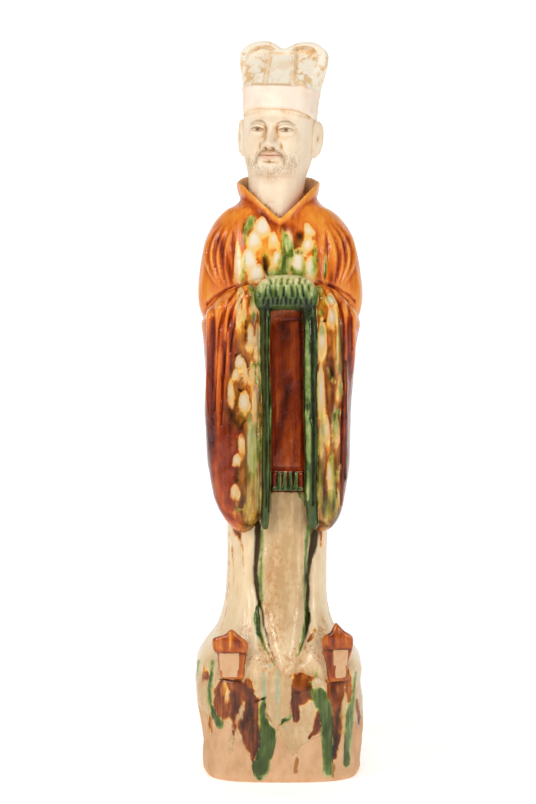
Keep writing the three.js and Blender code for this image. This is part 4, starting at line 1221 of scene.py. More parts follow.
ROCK_DARK = [
    [(254, 703, 1.4), (264, 700.6, 2.4)],
    [(266, 716, 1), (275, 728, 1.6)],
    [(279, 727.4, 1.6), (290, 720.6, 1.4)],
    [(291, 691.6, 1), (299, 693, 1.6), (308, 691.4, 1)],
    [(216, 681.4, 1.4), (242, 681.6, 1.6)],
    [(335, 654, 1), (334, 668, 1)],
    [(289.6, 700, 0.8), (290, 720, 1)],
    [(313, 737, 1.2), (307, 742, 1.4)],
]
ROCK_OLIVE = [
    [(250, 706, 4), (253, 728, 5), (256, 757, 6)],
    [(258, 706, 4), (258, 730, 5), (257, 760, 5)],
    [(309, 688, 4), (312, 700, 7)],
    [(340, 712, 6), (338, 730, 8), (335, 756, 6)],
    [(246, 712, 4), (250, 734, 4)],
]
ROCK_DEEP = [
    [(234, 684, 4), (242, 686, 8), (256, 702, 10)],
    [(228, 704, 4), (226, 716, 6)],
    [(234, 692, 6), (237, 712, 8), (243, 728, 8)],
    [(250, 704, 8), (250, 720, 10), (255, 744, 9), (257, 762, 7)],
    [(292, 692, 5), (293, 706, 5), (294, 720, 5)],
    [(298, 696, 10), (296.6, 714, 9)],
    [(306, 688, 8), (305, 702, 8)],
    [(334, 690, 5), (340, 706, 9), (336, 730, 7), (335, 756, 6)],
    [(320, 716, 5), (313, 734, 6), (307, 741, 4)],
    [(232.6, 716, 3.6), (232.6, 742, 3)],
    [(357.4, 700, 4), (358.6, 724, 4)],
    [(213, 648, 3), (247, 650, 3)],
    [(324, 646, 3), (354, 648, 3)],
]
ROCK_YELLOW = [
    (213, 694, 5, 26), (251, 684, 12, 14), (292, 679, 5, 7), (304, 677, 9, 5), (330, 682, 6, 9),
    (205, 671, 6, 5), (241, 704, 7, 8), (224, 690, 9, 16), (308, 704, 6, 5), (260, 690, 6, 10),
    (312.6, 638, 8, 18),
]
ROCK_CREAM = [
    (241, 711, 4.6, 15, -0.3), (303.4, 722, 11, 21, 0.1), (315, 687, 8, 8), (343.8, 705, 5, 27, -0.12),
    (228, 694, 2.6, 9), (298, 742, 14, 18),
]
ROCK_DRIPS = [
    [(232.5, 715, 6), (232.6, 744, 2.4)],
    [(248, 736, 18), (253, 750, 14), (258, 760, 15), (260.5, 768, 20), (260, 776, 15)],
    [(236, 722, 9), (241, 734, 8), (248, 752, 6)],
    [(268, 735, 18), (266, 757, 14)],
    [(327, 716, 17), (327.8, 752, 12), (327.6, 776, 10)],
    [(338, 722, 12), (335, 760, 5)],
    [(350, 705, 9), (348, 745, 8.4), (346.8, 767, 7)],
    [(214, 705, 9), (219.4, 727, 9)],
    [(209, 712, 6), (210, 736, 4)],
    [(358, 700, 7), (358.6, 727, 4.4)],
    [(230, 737, 3), (230, 754, 5)],
]
ROCK_STAIN = [
    [(296, 752, 1.6), (296.8, 755, 2)],
    [(297.4, 759, 3), (297, 764, 6), (295.4, 770, 4), (296, 777, 4.4)],
    [(333, 765, 4), (333.4, 770, 5), (331.6, 778, 4)],
    [(311, 763.6, 1.2), (311.4, 764.2, 1.2)],
]

# The shoes. The bare patches are boxes (left, top, right, bottom).
SHOE_BARE = [
    (218.6, 654.6, 238, 672), (221.5, 668, 236.5, 678.5), (333.6, 651, 347, 667), (336, 664, 345, 679.5),
]
SHOE_MARKS = [
    [(229.6, 632, 1), (229.4, 652, 1)],
    [(341.4, 624, 0.8), (341, 648, 0.8)],
]
SHOE_DEEP = [
    [(213, 653, 3), (247, 654, 3)],
    [(324, 650, 3), (354, 650, 3)],
    [(212, 640, 3), (220, 637, 3)],
    [(236, 644, 8), (243, 650, 5)],
    [(330, 634, 7), (334, 646, 6)],
    [(348, 640, 4), (352, 648, 3)],
    [(330, 658, 4), (333, 676, 4)],
    [(241, 660, 3), (240, 676, 3)],
]


def panes(px, py, boxes):
    """How far inside the nearest upright box each place is."""
    field = np.full(len(px), -FAR)
    for left, top, right, bottom in boxes:
        inside = np.minimum.reduce([px - left, right - px, py - top, bottom - py])
        field = np.maximum(field, inside * PIXEL)
    return field


def distances(points, forms):
    """How far each point lies from each form's surface, or FAR where the form is well away."""
    away = {}
    margin = 7
    for name, (form_points, form_faces) in forms.items():
        tree = BVHTree.FromPolygons(form_points.tolist(), form_faces.tolist())
        low, high = form_points.min(0) - margin, form_points.max(0) + margin
        near = np.flatnonzero(np.all((points > low) & (points < high), axis=1))
        away[name] = np.full(len(points), FAR)
        away[name][near] = [tree.find_nearest(at, FAR)[3] or 0 for at in points[near].tolist()]
    return away


def zone(away, *names):
    """How far inside the zone of the named forms each point lies. A point belongs to the nearest form."""
    own = np.minimum.reduce([away[name] for name in names])
    others = np.minimum.reduce([distance for name, distance in away.items() if name not in names])
    return others - own


def back_drips(points, seed, count, top, fall, wide):
    """Runs of glaze down the sides and the back, in millimetres round the figure and down it."""
    rng = np.random.default_rng(seed)
    around = 90 * np.arctan2(points[:, 0], points[:, 1])
    lines = []
    for _ in range(count):
        place = rng.uniform(-1.9, 1.9) * 90
        head = rng.uniform(*top)
        length = rng.uniform(*fall)
        width = rng.uniform(*wide)
        foot = (place + rng.uniform(-3, 3), length - head, width * rng.uniform(0.4, 0.8))
        lines.append([(place, -head, width), foot])
    return inside_marks(around, -points[:, 2], lines, 1)


def paint(points, faces, forms):
    """What each point is painted with. Glazes, bare clay and drawn marks are given as millimetres inside
    their edge, and what tints them as shares."""
    away = distances(points, forms)
    normals = normals_of(points, faces)
    px, py = to_pixels(points)
    front = np.where((normals[:, 1] < 0.1) & (points[:, 1] < 20), 0, -FAR)
    hidden = FAR * rise(normals[:, 1], -0.1, 0.4) - FAR
    facing = rise(-normals[:, 1], -0.1, 0.35)

    # The marks' edges waver as glaze does, and more so low down on the rock.
    low_down = 1 + 0.5 * rise(py, 655, 690)
    swayed = 0.6 * ripple(points * (1, 1, 0.5), 8, 31) + 0.6 * ripple(points * (1, 1, 0.4), 17, 32)
    swayed = px + low_down * swayed + 1.1 * (low_down - 1) * ripple(points, 4, 35)
    flowed = py + 1.5 * ripple(points * (1, 1, 0.4), 9, 33) + 1.2 * ripple(points, 18, 34)

    def marks(table):
        return inside_marks(swayed, flowed, table, foot=0.55) + front

    def straight(table):
        return inside_marks(px, py, table) + front

    def on(place, table, more=0):
        return np.minimum(marks(table) + more, place)

    def drips(seed, count, top, fall, wide):
        return hidden + back_drips(points, seed, count, top, fall, wide)

    def within(place):
        return rise(place, -0.5, 1)

    robe, skirt = zone(away, "robe", "arms"), zone(away, "skirt", "fold")
    head = zone(away, "skull", "ears", "cap", "trims")
    cloth = zone(away, "robe", "arms", "sleeves", "collar", "panel")
    sleeves, rock, shoes = zone(away, "sleeves"), zone(away, "rock"), zone(away, "shoes")
    panel, hem, edging = zone(away, "panel"), zone(away, "pleats"), zone(away, "bands", "cuffs")
    base = zone(away, "rock", "skirt", "fold")

    spots = most(on(robe, CHEST_CREAM, 0.6), on(sleeves, SLEEVE_CREAM))
    spots = most(spots, np.minimum(drips(5, 26, (330, 560), (20, 90), (6, 13)), robe))
    cloth_green = np.minimum(0.65 * most(on(robe, CHEST_GREEN), on(sleeves, SLEEVE_GREEN)), 1.0)
    hem_green = np.minimum(straight(HEM_GREEN), hem)
    rock_cream = marks(ROCK_CREAM)
    rock_green = np.minimum(marks(ROCK_GREEN), -rock_cream)
    rock_amber = np.minimum(marks(ROCK_AMBER), -most(rock_cream, rock_green - 1.5))
    amber_drips = back_drips(points, 11, 12, (-50, -15), (25, 80), (8, 22))
    green_drips = back_drips(points, 17, 8, (-50, -15), (25, 90), (7, 15))

    brown = most(on(robe, CHEST_BROWN), on(sleeves, SLEEVE_BROWN))
    amber = most(
        np.minimum(cloth, -most(spots, cloth_green - 1)), brown, np.minimum(hem + 1, 3 * (1.1 - hem_green)),
        on(skirt, SKIRT_AMBER), np.minimum(drips(8, 9, (225, 250), (30, 110), (2, 5)), skirt),
        np.minimum(most(rock_amber, hidden + amber_drips), base), shoes,
    )
    pale = np.minimum(most(marks(BAND_PALE), marks(CUFF_PALE_AND_HIGHLIGHTS) - 0.6), 1.1)
    green = most(
        np.minimum(edging, 2.2 - 1.2 * pale), cloth_green, on(panel, PANEL_GREEN), hem_green,
        np.minimum(straight(HEM_DRIPS), skirt), on(skirt, SKIRT_GREEN),
        np.minimum(most(rock_green, hidden + green_drips), base),
        np.minimum(drips(23, 12, (300, 520), (30, 90), (4, 9)), robe),
    )
    dark = most(
        on(robe, CHEST_DARK), on(sleeves, SLEEVE_DARK), on(skirt, SKIRT_DARK), on(rock, ROCK_DARK),
        on(edging, BAND_DARK) - 0.6,
    )
    yellow = most(
        on(robe, CHEST_YELLOW), on(sleeves, SLEEVE_YELLOW), on(base, ROCK_YELLOW),
        np.minimum(straight(SHOE_MARKS), shoes),
    )
    # Darker glaze, together with painted shade along the sleeves' feet
    deep = most(
        on(cloth, CLOTH_DEEP_AND_SHADE), brown + 1.5, on(panel, PANEL_DEEP), on(base, ROCK_DEEP),
        on(shoes, SHOE_DEEP),
    )

    off_axis = np.abs(px - AXIS_PX)
    ruddy = 0.33 * within(zone(away, "panel", "pleats")) + 0.26 * within(shoes)
    ruddy += 0.2 * within(base) + 0.2 * within(hem)
    ruddy += within(sleeves) * (
        0.17 * rise(py, 305, 350) * (1 - 0.45 * rise(py, 480, 520))
        + rise(off_axis, 32, 58) * (0.1 * rise(py, 390, 440) + 0.06 * rise(py, 470, 512))
        + 0.15 * rise(AXIS_PX - px, 50, 66) * bump(py, 430, 38)
    )
    ruddy += 0.02 * within(robe) * rise(off_axis, 38, 58) * rise(py, 215, 250)
    cuff = rise(zone(away, "cuffs"), -1, 1)
    thick = 0.6 * within(edging) * (1 - cuff) + 0.15 * within(base) + 0.5 * within(hem)
    # On the cuffs the green is thinner at the top and thicker at the foot: this paints a highlight along
    # their tops and shade beneath them
    thick += cuff * (0.5 * rise(py, 280, 294) - 0.5 + 0.5 * rise(py, 289, 302))
    tan = rise(zone(away, "fold"), -4, 4) * (1 - 0.8 * rise(py, 600, 655))
    tan = most(tan, 1.05 * rise(py, 645, 690) * rise(base, -1, 1) * facing)
    tan *= 1 - 0.8 * rise(green, -1, 1)

    # The clay is bare below the glaze's edge, in the shoes' patches and inside the collar
    below = (py - np.interp(px, *np.array(GLAZE_END).T)) * PIXEL
    below = np.minimum(below, -inside_marks(px, py, ROCK_DRIPS))
    around = np.arctan2(points[:, 0], points[:, 1])
    level = -62 + 14 * np.sin(3 * around + 1) + 9 * np.sin(7 * around) + 5 * np.sin(15 * around + 2)
    behind = np.minimum.reduce([level - points[:, 2], -amber_drips, -green_drips])
    outward = points[:, :2] - (COLLAR_MIDDLE, 0)
    inward = -np.einsum("ij,ij->i", outward, normals[:, :2]) / np.linalg.norm(outward, axis=1)
    bare = most(
        np.minimum(below * facing + behind * (1 - facing), rock),
        np.minimum(panes(swayed, py, SHOE_BARE) + front, shoes + 1),
        np.minimum(6 * inward - 0.5, zone(away, "collar") + 1),
    )

    return {
        "amber": amber, "green": green, "dark": dark, "yellow": yellow, "deep": deep, "bare": bare,
        "olive": most(on(robe, CHEST_OLIVE), on(sleeves, SLEEVE_OLIVE), on(rock, ROCK_OLIVE)),
        "mustard": most(on(robe, CHEST_MUSTARD), on(sleeves, SLEEVE_MUSTARD, 3)),
        "mint": most(on(robe, CHEST_MINT), on(sleeves, SLEEVE_MINT)),
        "wash": most(on(robe, CHEST_PALE), on(sleeves, SLEEVE_PALE)),
        "turquoise": on(base, ROCK_TURQUOISE), "stain_lines": on(rock, ROCK_STAIN),
        "spots": spots, "white": head, "ruddy": ruddy, "thick": thick, "tan": tan,
        "earthy": most(within(base), 0.45 * within(shoes)), "tawny": rise(sleeves, -2, 3),
        "rusty": rise(on(base, FOLD_RUST), -5, 5),
        **paint_head(points, away),
    }


def mirrored(line):
    return [line, [(-x, h, w) for x, h, w in line]]


BROW_LINE = [(8, BROW + 0.5, 2), (14, BROW + 3.4, 3.6), (23, BROW + 4.2, 3.2), (32, BROW + 0.5, 1.4)]
MOUSTACHE = [(2.6, 714.5, 2), (9, 713.6, 3.6), (15.5, 710, 3.6), (19.5, 704, 3), (20.5, 697, 1.4)]
SMUDGE = [(4, 714.6, 4), (12, 712.6, 6), (18, 707, 7), (20.5, 699, 5)]
# Lines of soil and painted shade: the eyes' inner corners, beside and under the nose, under the lower lids
# and under the cap's edge
SOIL_AND_SHADE_LINES = (
    [(9, 749, 3), (9, 741, 2), (12, 738, 1)],
    [(14, 725, 1.6), (15, 718, 1.6), (19, 712, 1)],
    [(3, 717.6, 2), (7, 717.8, 2.4)],
    [(10, 735.6, 1), (20, 733.6, 1.6), (28, 736, 1)],
    [(48, 766, 4), (30, 767, 2), (12, 771, 1.4), (0, 773, 1.4)],
)


def paint_head(points, away):
    """The painted features of the head, in its own frame: x across, y back and h up."""
    x, y, h = unturned(points).T
    skin = zone(away, "skull") > -1
    face = np.where((y < -20) & skin, 0, -FAR)
    side = np.abs(x)

    def on_face(*table):
        return inside_marks(x, h, table, 1) + face

    def both_sides(*lines):
        return on_face(*(one for line in lines for one in mirrored(line)))

    upper, lower, inside = lid_edges(side)
    opening = np.minimum(upper - h, h - lower) + FAR * (inside > 0) - FAR
    round_eye = np.hypot(side - EYE_GAP, h - EYE - 0.9)
    line = mouth_line(x)
    lid = most(0.85 - np.abs(h - upper), 0.35 - np.abs(h - lower)) + FAR * (inside > 0.02) - FAR
    lid = face + most(
        lid, 0.4 - np.abs(h - upper - 5) + FAR * (inside > 0.1) - FAR,
        0.6 * rise(MOUTH_HALF + 2 - side, 0, 5) - np.abs(h - line),
        inside_marks(side, h, [(5.2, NOSE - 1.4, 4, 2.4)], 1),
    )
    # Soil and painted shade in the face's creases, under the lower lip and on the neck by the collar
    soil_and_painted_shade = most(both_sides(*SOIL_AND_SHADE_LINES), on_face((0, 699, 13, 4)) - 1, 0.6 * (6 - away["collar"]))
    jaw = (
        1.1 * bump(h, CHIN - 7 + 0.012 * x * x, 9) * rise(36 - side, -6, 12)
        + 1.0 * bump(x, 30, 10) * bump(h, 702, 13) + 0.7 * bump(x, -33, 8) * bump(h, 699, 11)
    )
    w = np.sqrt(np.maximum(0, 1 - (x / MOUTH_HALF) ** 2))

    on_cap = rise(zone(away, "cap", "trims"), -0.5, 0.5)
    band = on_cap * (h < CAP_SHELF + 1) * rise(h, CAP_LOW + 2, CAP_LOW + 8)
    lobes = on_cap * rise(h, CAP_SHELF + 1, CAP_SHELF + 8) * (y > slant(h) + 3)
    lobes *= 0.35 + 0.65 * rise(side, 16, 24)
    up = h - CAP_SHELF
    aside = np.abs(x - 6 + 0.12 * up)
    board = 21.5 - 0.04 * up
    trim = most(
        1.7 - np.abs(aside - board), 1.4 - np.abs(aside - board + 4.4) - 3 * (up > 50),
        1.6 - np.abs(up - 54) - 3 * (aside > board), 2 - np.abs(up - 3) - 3 * (aside > 38),
        1.6 - np.abs(aside - 37) - 3 * (up > 22),
    )
    return {
        "iris": np.minimum(3.3 - round_eye, opening) + face,
        "pupil": np.minimum(1.5 - round_eye, opening) + face,
        "lid": lid,
        "lips": np.minimum(line + 4.8 * w - h, h - line + 6.4 * w) + face - 0.5,
        "soil_and_painted_shade": soil_and_painted_shade,
        "ink": most(both_sides(BROW_LINE, MOUSTACHE), on_face((0, 699.4, 5, 5.4))),
        "smudge": most(both_sides(SMUDGE), on_face((4, 644, 34, 9)) - 3.4),
        "hair": np.clip(jaw, 0, 1) * (y < -12) * skin,
        "trim": on_cap * rise(trim, -0.9, 0.3) * (up > 0) * (np.abs(y - slant(h) - 5) < 11),
        "blush": band, "stain": lobes + 0.12 * on_cap, "clean": on_cap,
    }


def hollowness(points, faces, times):
    """How deep each point lies in a crease, in millimetres. It is below zero on ridges."""
    normals = normals_of(points, faces)
    wide = relax(points, faces, times)
    return np.einsum("ij,ij->i", wide - points, normals)


def figure():
    (points, faces), forms = figure_mesh()
    mesh = bpy.data.meshes.new("figure")
    placed = (points + (0, 0, BASE_HEIGHT)) * UNIT
    mesh.from_pydata(placed.tolist(), [], faces.tolist())
    mesh.polygons.foreach_set("use_smooth", np.ones(len(faces), bool))
    fields = paint(points, faces, forms)
    fields["hollow"] = hollowness(points, faces, 8)
    fields["valley"] = hollowness(points, faces, 40)
    for name, values in fields.items():
        field = mesh.attributes.new(name, "FLOAT", "POINT")
        field.data.foreach_set("value", np.asarray(values, np.float32))
    made = bpy.data.objects.new("figure", mesh)
    bpy.context.scene.collection.objects.link(made)
    return made


# Shader nodes

class Shading:
    """Builds a material's nodes. Distances in it are millimetres of the drawing."""

    def __init__(self, name):
        self.material = bpy.data.materials.new(name)
        self.material.use_nodes = True
        self.tree = self.material.node_tree
        self.shader = self.tree.nodes["Principled BSDF"]
        where = self.node("TexCoord").outputs["Object"]
        self.place = self.stretch(where, (1 / UNIT,) * 3)

    def node(self, kind, inputs=None, **settings):
        made = self.tree.nodes.new("ShaderNode" + kind)
        for key, value in settings.items():
            setattr(made, key, value)
        for key, value in (inputs or {}).items():
            if isinstance(value, bpy.types.NodeSocket):
                self.tree.links.new(value, made.inputs[key])
            else:
                made.inputs[key].default_value = value
        return made

    def stretch(self, vector, scale):
        return self.node("VectorMath", {0: vector, 1: scale}, operation="MULTIPLY").outputs[0]

    def field(self, name):
        return self.node("Attribute", attribute_name=name).outputs["Fac"]

    def calc(self, how, a, b):
        return self.node("Math", {0: a, 1: b}, operation=how).outputs[0]

    def add(self, *terms):
        """The sum of the terms, where a pair is a value and its share."""
        terms = [self.times(*term) if isinstance(term, tuple) else term for term in terms]
        total = terms[0]
        for term in terms[1:]:
            total = self.calc("ADD", total, term)
        return total

    def times(self, a, b):
        return self.calc("MULTIPLY", a, b)

    def lay(self, value, low, high, to_low=0.0, to_high=1.0):
        """A smooth step from to_low at low to to_high at high."""
        inputs = {"Value": value, "From Min": low, "From Max": high, "To Min": to_low, "To Max": to_high}
        return self.node("MapRange", inputs, interpolation_type="SMOOTHSTEP").outputs["Result"]

    def edge(self, field, low=-1.0, high=1.0):
        """From 0 to 1 across the edge of a glaze, which is crisp in some places and soft in others."""
        return self.lay(self.calc("DIVIDE", field, self.softness), low, high)

    def noise(self, size, stretch=(1, 1, 1), detail=3.0, seed=0.0):
        """Noise from about -1 to 1, with features of the given size."""
        where = self.stretch(self.place, tuple(share / size for share in stretch))
        away = (seed, seed * 1.7, -seed)
        where = self.node("VectorMath", {0: where, 1: away}, operation="ADD").outputs[0]
        inputs = {"Vector": where, "Scale": 1.0, "Detail": detail, "Roughness": 0.55}
        grain = self.node("TexNoise", inputs)
        return self.calc("MULTIPLY", self.calc("SUBTRACT", grain.outputs["Fac"], 0.5), 3.0)

    def ramp(self, value, stops):
        made = self.node("ValToRGB", {"Fac": value})
        elements = made.color_ramp.elements
        while len(elements) < len(stops):
            elements.new(0.5)
        for element, (at, colour) in zip(elements, stops):
            element.position, element.color = at, (*colour, 1)
        return made.outputs["Color"]

    def between(self, share, low, high):
        return self.node("Mix", {0: share, 2: low, 3: high}, data_type="FLOAT").outputs[0]

    def blend(self, share, under, over, how="MIX"):
        under, over = ((*c, 1) if isinstance(c, tuple) else c for c in (under, over))
        mix = self.node("Mix", {0: share, 6: under, 7: over}, data_type="RGBA", blend_type=how)
        return mix.outputs[2]

    def filtered(self, under, depth, stops):
        """What is under a clear glaze of the given depth."""
        return self.blend(1.0, under, self.ramp(depth, stops), "MULTIPLY")

    def link(self, value, name):
        self.tree.links.new(value, self.shader.inputs[name])


CREAM_TONES = [(0, (0.97, 0.82, 0.58)), (0.45, (0.88, 0.67, 0.41)), (1, (0.58, 0.37, 0.18))]
SPOT_TONES = [
    (0, (0.86, 0.56, 0.2)), (0.3, (0.83, 0.6, 0.31)), (0.65, (0.84, 0.67, 0.45)), (1, (0.86, 0.73, 0.57)),
]
SLEEVE_TINT = (0.74, 0.68, 0.6)
RUST = (0.58, 0.29, 0.11)
RUST_TINT = (1, 0.86, 0.76)
AMBER_TONES = [
    (0, (0.88, 0.53, 0.11)), (0.12, (0.85, 0.36, 0.045)), (0.3, (0.8, 0.215, 0.023)),
    (0.5, (0.53, 0.092, 0.008)), (0.72, (0.26, 0.029, 0.003)), (1, (0.06, 0.006, 0.0015)),
]
MUSTARD_TONES = [
    (0, (0.8, 0.52, 0.14)), (0.12, (0.7, 0.36, 0.042)), (0.3, (0.5, 0.19, 0.018)),
    (0.5, (0.31, 0.1, 0.009)), (0.72, (0.145, 0.042, 0.006)), (1, (0.05, 0.014, 0.004)),
]
EARTH_TONES = [
    (0, (0.92, 0.62, 0.2)), (0.15, (0.8, 0.37, 0.065)), (0.32, (0.52, 0.168, 0.022)),
    (0.5, (0.33, 0.078, 0.01)), (0.72, (0.165, 0.033, 0.006)), (1, (0.05, 0.014, 0.004)),
]
GREEN_FILTER = [
    (0, (1, 1, 1)), (0.12, (0.7, 0.85, 0.56)), (0.38, (0.25, 0.42, 0.18)), (0.66, (0.075, 0.158, 0.046)),
    (1, (0.013, 0.029, 0.007)),
]
OLIVE_FILTER = [
    (0, (1, 1, 1)), (0.25, (0.82, 0.86, 0.5)), (0.6, (0.44, 0.46, 0.12)), (1, (0.14, 0.17, 0.03)),
]
DARK_GLAZE = (0.022, 0.01, 0.003)
TURQUOISE = (0.33, 0.44, 0.28)
CLAY_TONES = [(0, (0.82, 0.55, 0.34)), (0.5, (0.71, 0.42, 0.23)), (1, (0.48, 0.25, 0.11))]
CLAY_SPECK = (0.36, 0.17, 0.08)
SEEPAGE = (0.36, 0.14, 0.03)
GLAZE_RIM = (0.25, 0.1, 0.03)
WHITE_TONES = [
    (0, (0.96, 0.87, 0.72)), (0.4, (0.87, 0.68, 0.48)), (0.75, (0.66, 0.42, 0.22)), (1, (0.42, 0.23, 0.1)),
]
STAIN = (0.83, 0.53, 0.24)
PORE = (0.5, 0.29, 0.13)
BLUSH = (0.93, 0.7, 0.58)
INK = (0.26, 0.145, 0.068)
SMUDGED = (0.46, 0.27, 0.12)
# Each painted feature, where its edge begins and ends, how far it covers the white, and its colour
FEATURES = (
    ("lips", -0.8, 0.8, 0.6, (0.8, 0.42, 0.3)),
    ("iris", -0.5, 0.3, 0.6, (0.26, 0.15, 0.08)),
    ("pupil", -0.5, 0.4, 0.85, (0.05, 0.03, 0.02)),
    ("lid", -0.7, 0.4, 0.6, (0.2, 0.11, 0.05)),
)
GLAZE_IOR = 1.44
MATT_ROUGHNESS = 0.86


def cream_glaze(s):
    """The pale ground, browner low down and on the front fold, with rust and the pale drops."""
    mottle = s.lay(s.noise(7, (1, 1, 0.8), 6, 13.0), -0.2, 0.9, 0, 0.22)
    tan = (s.field("tan"), s.add(0.44, mottle))
    colour = s.ramp(s.add(0.46, (s.runs, 0.16), (s.cloud, 0.16), (s.hollow, 0.22), tan), CREAM_TONES)
    rusty = s.field("rusty")
    rust = s.lay(s.add(s.noise(4.6, (1, 1, 0.8), 6, 14.0), (s.cloud, 0.5)), -0.05, 0.35, 0, 0.8)
    colour = s.blend(s.times(rust, rusty), colour, RUST)
    colour = s.blend(s.times(rusty, 0.35), colour, RUST_TINT, "MULTIPLY")
    drops = s.ramp(s.lay(s.add(s.field("spots"), (s.drift, 0.8)), -1, 6.5), SPOT_TONES)
    drops = s.blend(s.times(s.field("tawny"), 0.8), drops, SLEEVE_TINT, "MULTIPLY")
    return s.blend(s.lay(s.field("spots"), -1.5, 0.5), colour, drops)


def amber_glaze(s, under):
    """Amber that darkens where it is thick and in painted shade, with ochre and muddy places, and earthier
    on the rock.
    """
    earthy = s.field("earthy")
    amber = s.add(s.field("amber"), s.wobble, (earthy, s.times(s.drift, 1.2)))
    yellow = s.edge(s.add(s.field("yellow"), s.wobble), -1.5, 2)
    deep = s.lay(s.add(s.field("deep"), (s.wobble, 1.5)), -4, 5)
    pooled = s.calc("SUBTRACT", s.lay(amber, 0.5, 1.8), s.lay(amber, 2.2, 5.0))
    thinning = s.add(0.7, (s.softness, 0.6), (earthy, 0.8))
    tone = s.add(
        (pooled, 0.13), s.lay(s.calc("DIVIDE", amber, thinning), -0.5, 1.8, -0.04, 0.31),
        (s.runs, 0.09), (s.slow_runs, 0.16), s.lay(s.field("hollow"), -0.9, 0.9, -0.12, 0.20),
        (earthy, s.add((s.slow_runs, 0.16), (s.runs, 0.1), (s.cloud, 0.12))),
        s.lay(s.field("valley"), -2.5, 2.5, -0.06, 0.12),
        s.field("ruddy"), (deep, 0.24), (yellow, -0.31), (s.speck, 0.03),
    )
    glaze = s.blend(earthy, s.ramp(tone, AMBER_TONES), s.ramp(tone, EARTH_TONES))
    muddy = s.lay(s.add(s.field("mustard"), (s.wobble, 1.5)), -2.5, 3.5, 0, 0.82)
    glaze = s.blend(muddy, glaze, s.ramp(s.add(tone, -0.08), MUSTARD_TONES))
    washed = s.lay(s.add(s.field("wash"), s.wobble), -2.4, 2.8, 1, 0.3)
    return s.blend(s.times(s.edge(amber), washed), under, glaze)


def green_glaze(s, under):
    """Olive, mint and green tint what is under them, and turquoise covers it."""
    olive = s.edge(s.add(s.field("olive"), s.wobble), -1.4, 2.6)
    tone = s.add(0.54, (s.runs, 0.3), (s.slow_runs, 0.3), (s.hollow, 0.15))
    colour = s.filtered(under, s.times(olive, tone), OLIVE_FILTER)
    mint = s.lay(s.add(s.field("mint"), s.wobble), -2.2, 3.2)
    tone = s.add(0.22, (s.runs, 0.1), (s.slow_runs, 0.16))
    colour = s.filtered(colour, s.times(mint, tone), GREEN_FILTER)
    green = s.calc("DIVIDE", s.add(s.field("green"), s.wobble), s.softness)
    # thick also carries the cuffs' painted highlight at their tops and painted shade at their feet
    tone = s.add(1.0, s.field("thick"), (s.runs, 0.2), (s.slow_runs, 0.25), (s.hollow, 0.42))
    colour = s.filtered(colour, s.times(s.lay(green, -1.3, 2.6, 0, 0.62), tone), GREEN_FILTER)
    turquoise = s.lay(s.add(s.field("turquoise"), s.wobble, (s.speck, 3.2)), 0.2, 3.0, 0, 0.85)
    return s.blend(turquoise, colour, TURQUOISE)


def bare_clay(s, under):
    """Bare clay, with a thin brown rim where the glaze ends, over what is under it. Also gives its mask."""
    bare = s.add(s.field("bare"), (s.wobble, 0.7))
    tone = s.add(0.55, (s.cloud, 0.26), (s.speck, 0.12), (s.drift, 0.12), (s.hollow, 0.15))
    clay = s.blend(s.lay(s.speck, 0.62, 0.8, 0, 0.4), s.ramp(tone, CLAY_TONES), CLAY_SPECK)
    clay = s.blend(s.lay(s.add(s.field("stain_lines"), s.wobble), -0.8, 1.4, 0, 0.9), clay, SEEPAGE)
    rim = s.times(s.lay(bare, -1.6, -0.4), s.lay(bare, 0.2, -0.4))
    mask = s.lay(bare, -0.35, 0.35)
    return s.blend(mask, s.blend(s.times(rim, 0.35), under, GLAZE_RIM), clay), mask


def painted_head(s):
    """White slip, soiled and painted with shade in its hollows, with the cap's blush and stains and the
    drawn face and hair.
    """
    clean = s.field("clean")
    # The white is darkened in its hollows and creases as painted shade, together with soil; the cap gets
    # less of it and is whiter
    soil_and_shade_share = s.calc("SUBTRACT", 1.0, s.times(clean, 0.7))
    soil_and_painted_shade = s.add(
        (s.lay(s.field("hollow"), -0.05, 0.6, 0, 0.42), soil_and_shade_share),
        (s.lay(s.field("valley"), -0.2, 2.2, -0.02, 0.26), soil_and_shade_share),
        (s.lay(s.add(s.field("soil_and_painted_shade"), (s.drift, 1.2)), -2.5, 1.5), 0.22), (clean, -0.34),
    )
    white = s.ramp(s.add(0.31, (s.cloud, 0.17), (s.drift, 0.1), soil_and_painted_shade, (s.speck, 0.05)), WHITE_TONES)
    white = s.blend(s.times(s.field("blush"), s.lay(s.cloud, -0.6, 0.6, 0.3, 0.75)), white, BLUSH)
    patches = s.add(s.noise(13, (1, 1, 1), 6, 9.0), (s.noise(2.4, (1, 1, 1), 4, 10.0), 0.35))
    stain = s.times(s.times(s.lay(patches, -0.1, 0.36), s.field("stain")), 0.85)
    outline = s.times(s.field("trim"), s.lay(s.drift, -0.7, 0.3, 0.1, 0.8))
    white = s.blend(s.calc("MAXIMUM", stain, outline), white, STAIN)
    pores = s.times(s.lay(s.speck, 0.62, 0.85), s.lay(s.drift, -0.3, 0.5, 0, 0.45))
    white = s.blend(pores, white, PORE)
    white = s.blend(s.times(s.lay(s.add(s.field("smudge"), s.drift), -3, 1.5), 0.4), white, SMUDGED)
    strands = s.noise(1.0, (1, 1, 0.3), 2, 11.0)
    patchy = s.lay(s.add(strands, (s.drift, 0.5)), -0.7, 0.2)
    white = s.blend(s.times(s.times(s.lay(s.field("ink"), -1.1, 0.8), patchy), 0.58), white, INK)
    stubble = s.lay(s.add(strands, (s.drift, 0.3)), -0.1, 0.45, 0, 0.62)
    white = s.blend(s.times(s.field("hair"), stubble), white, INK)
    for name, low, high, cover, tone in FEATURES:
        white = s.blend(s.lay(s.field(name), low, high, 0, cover), white, tone)
    return white


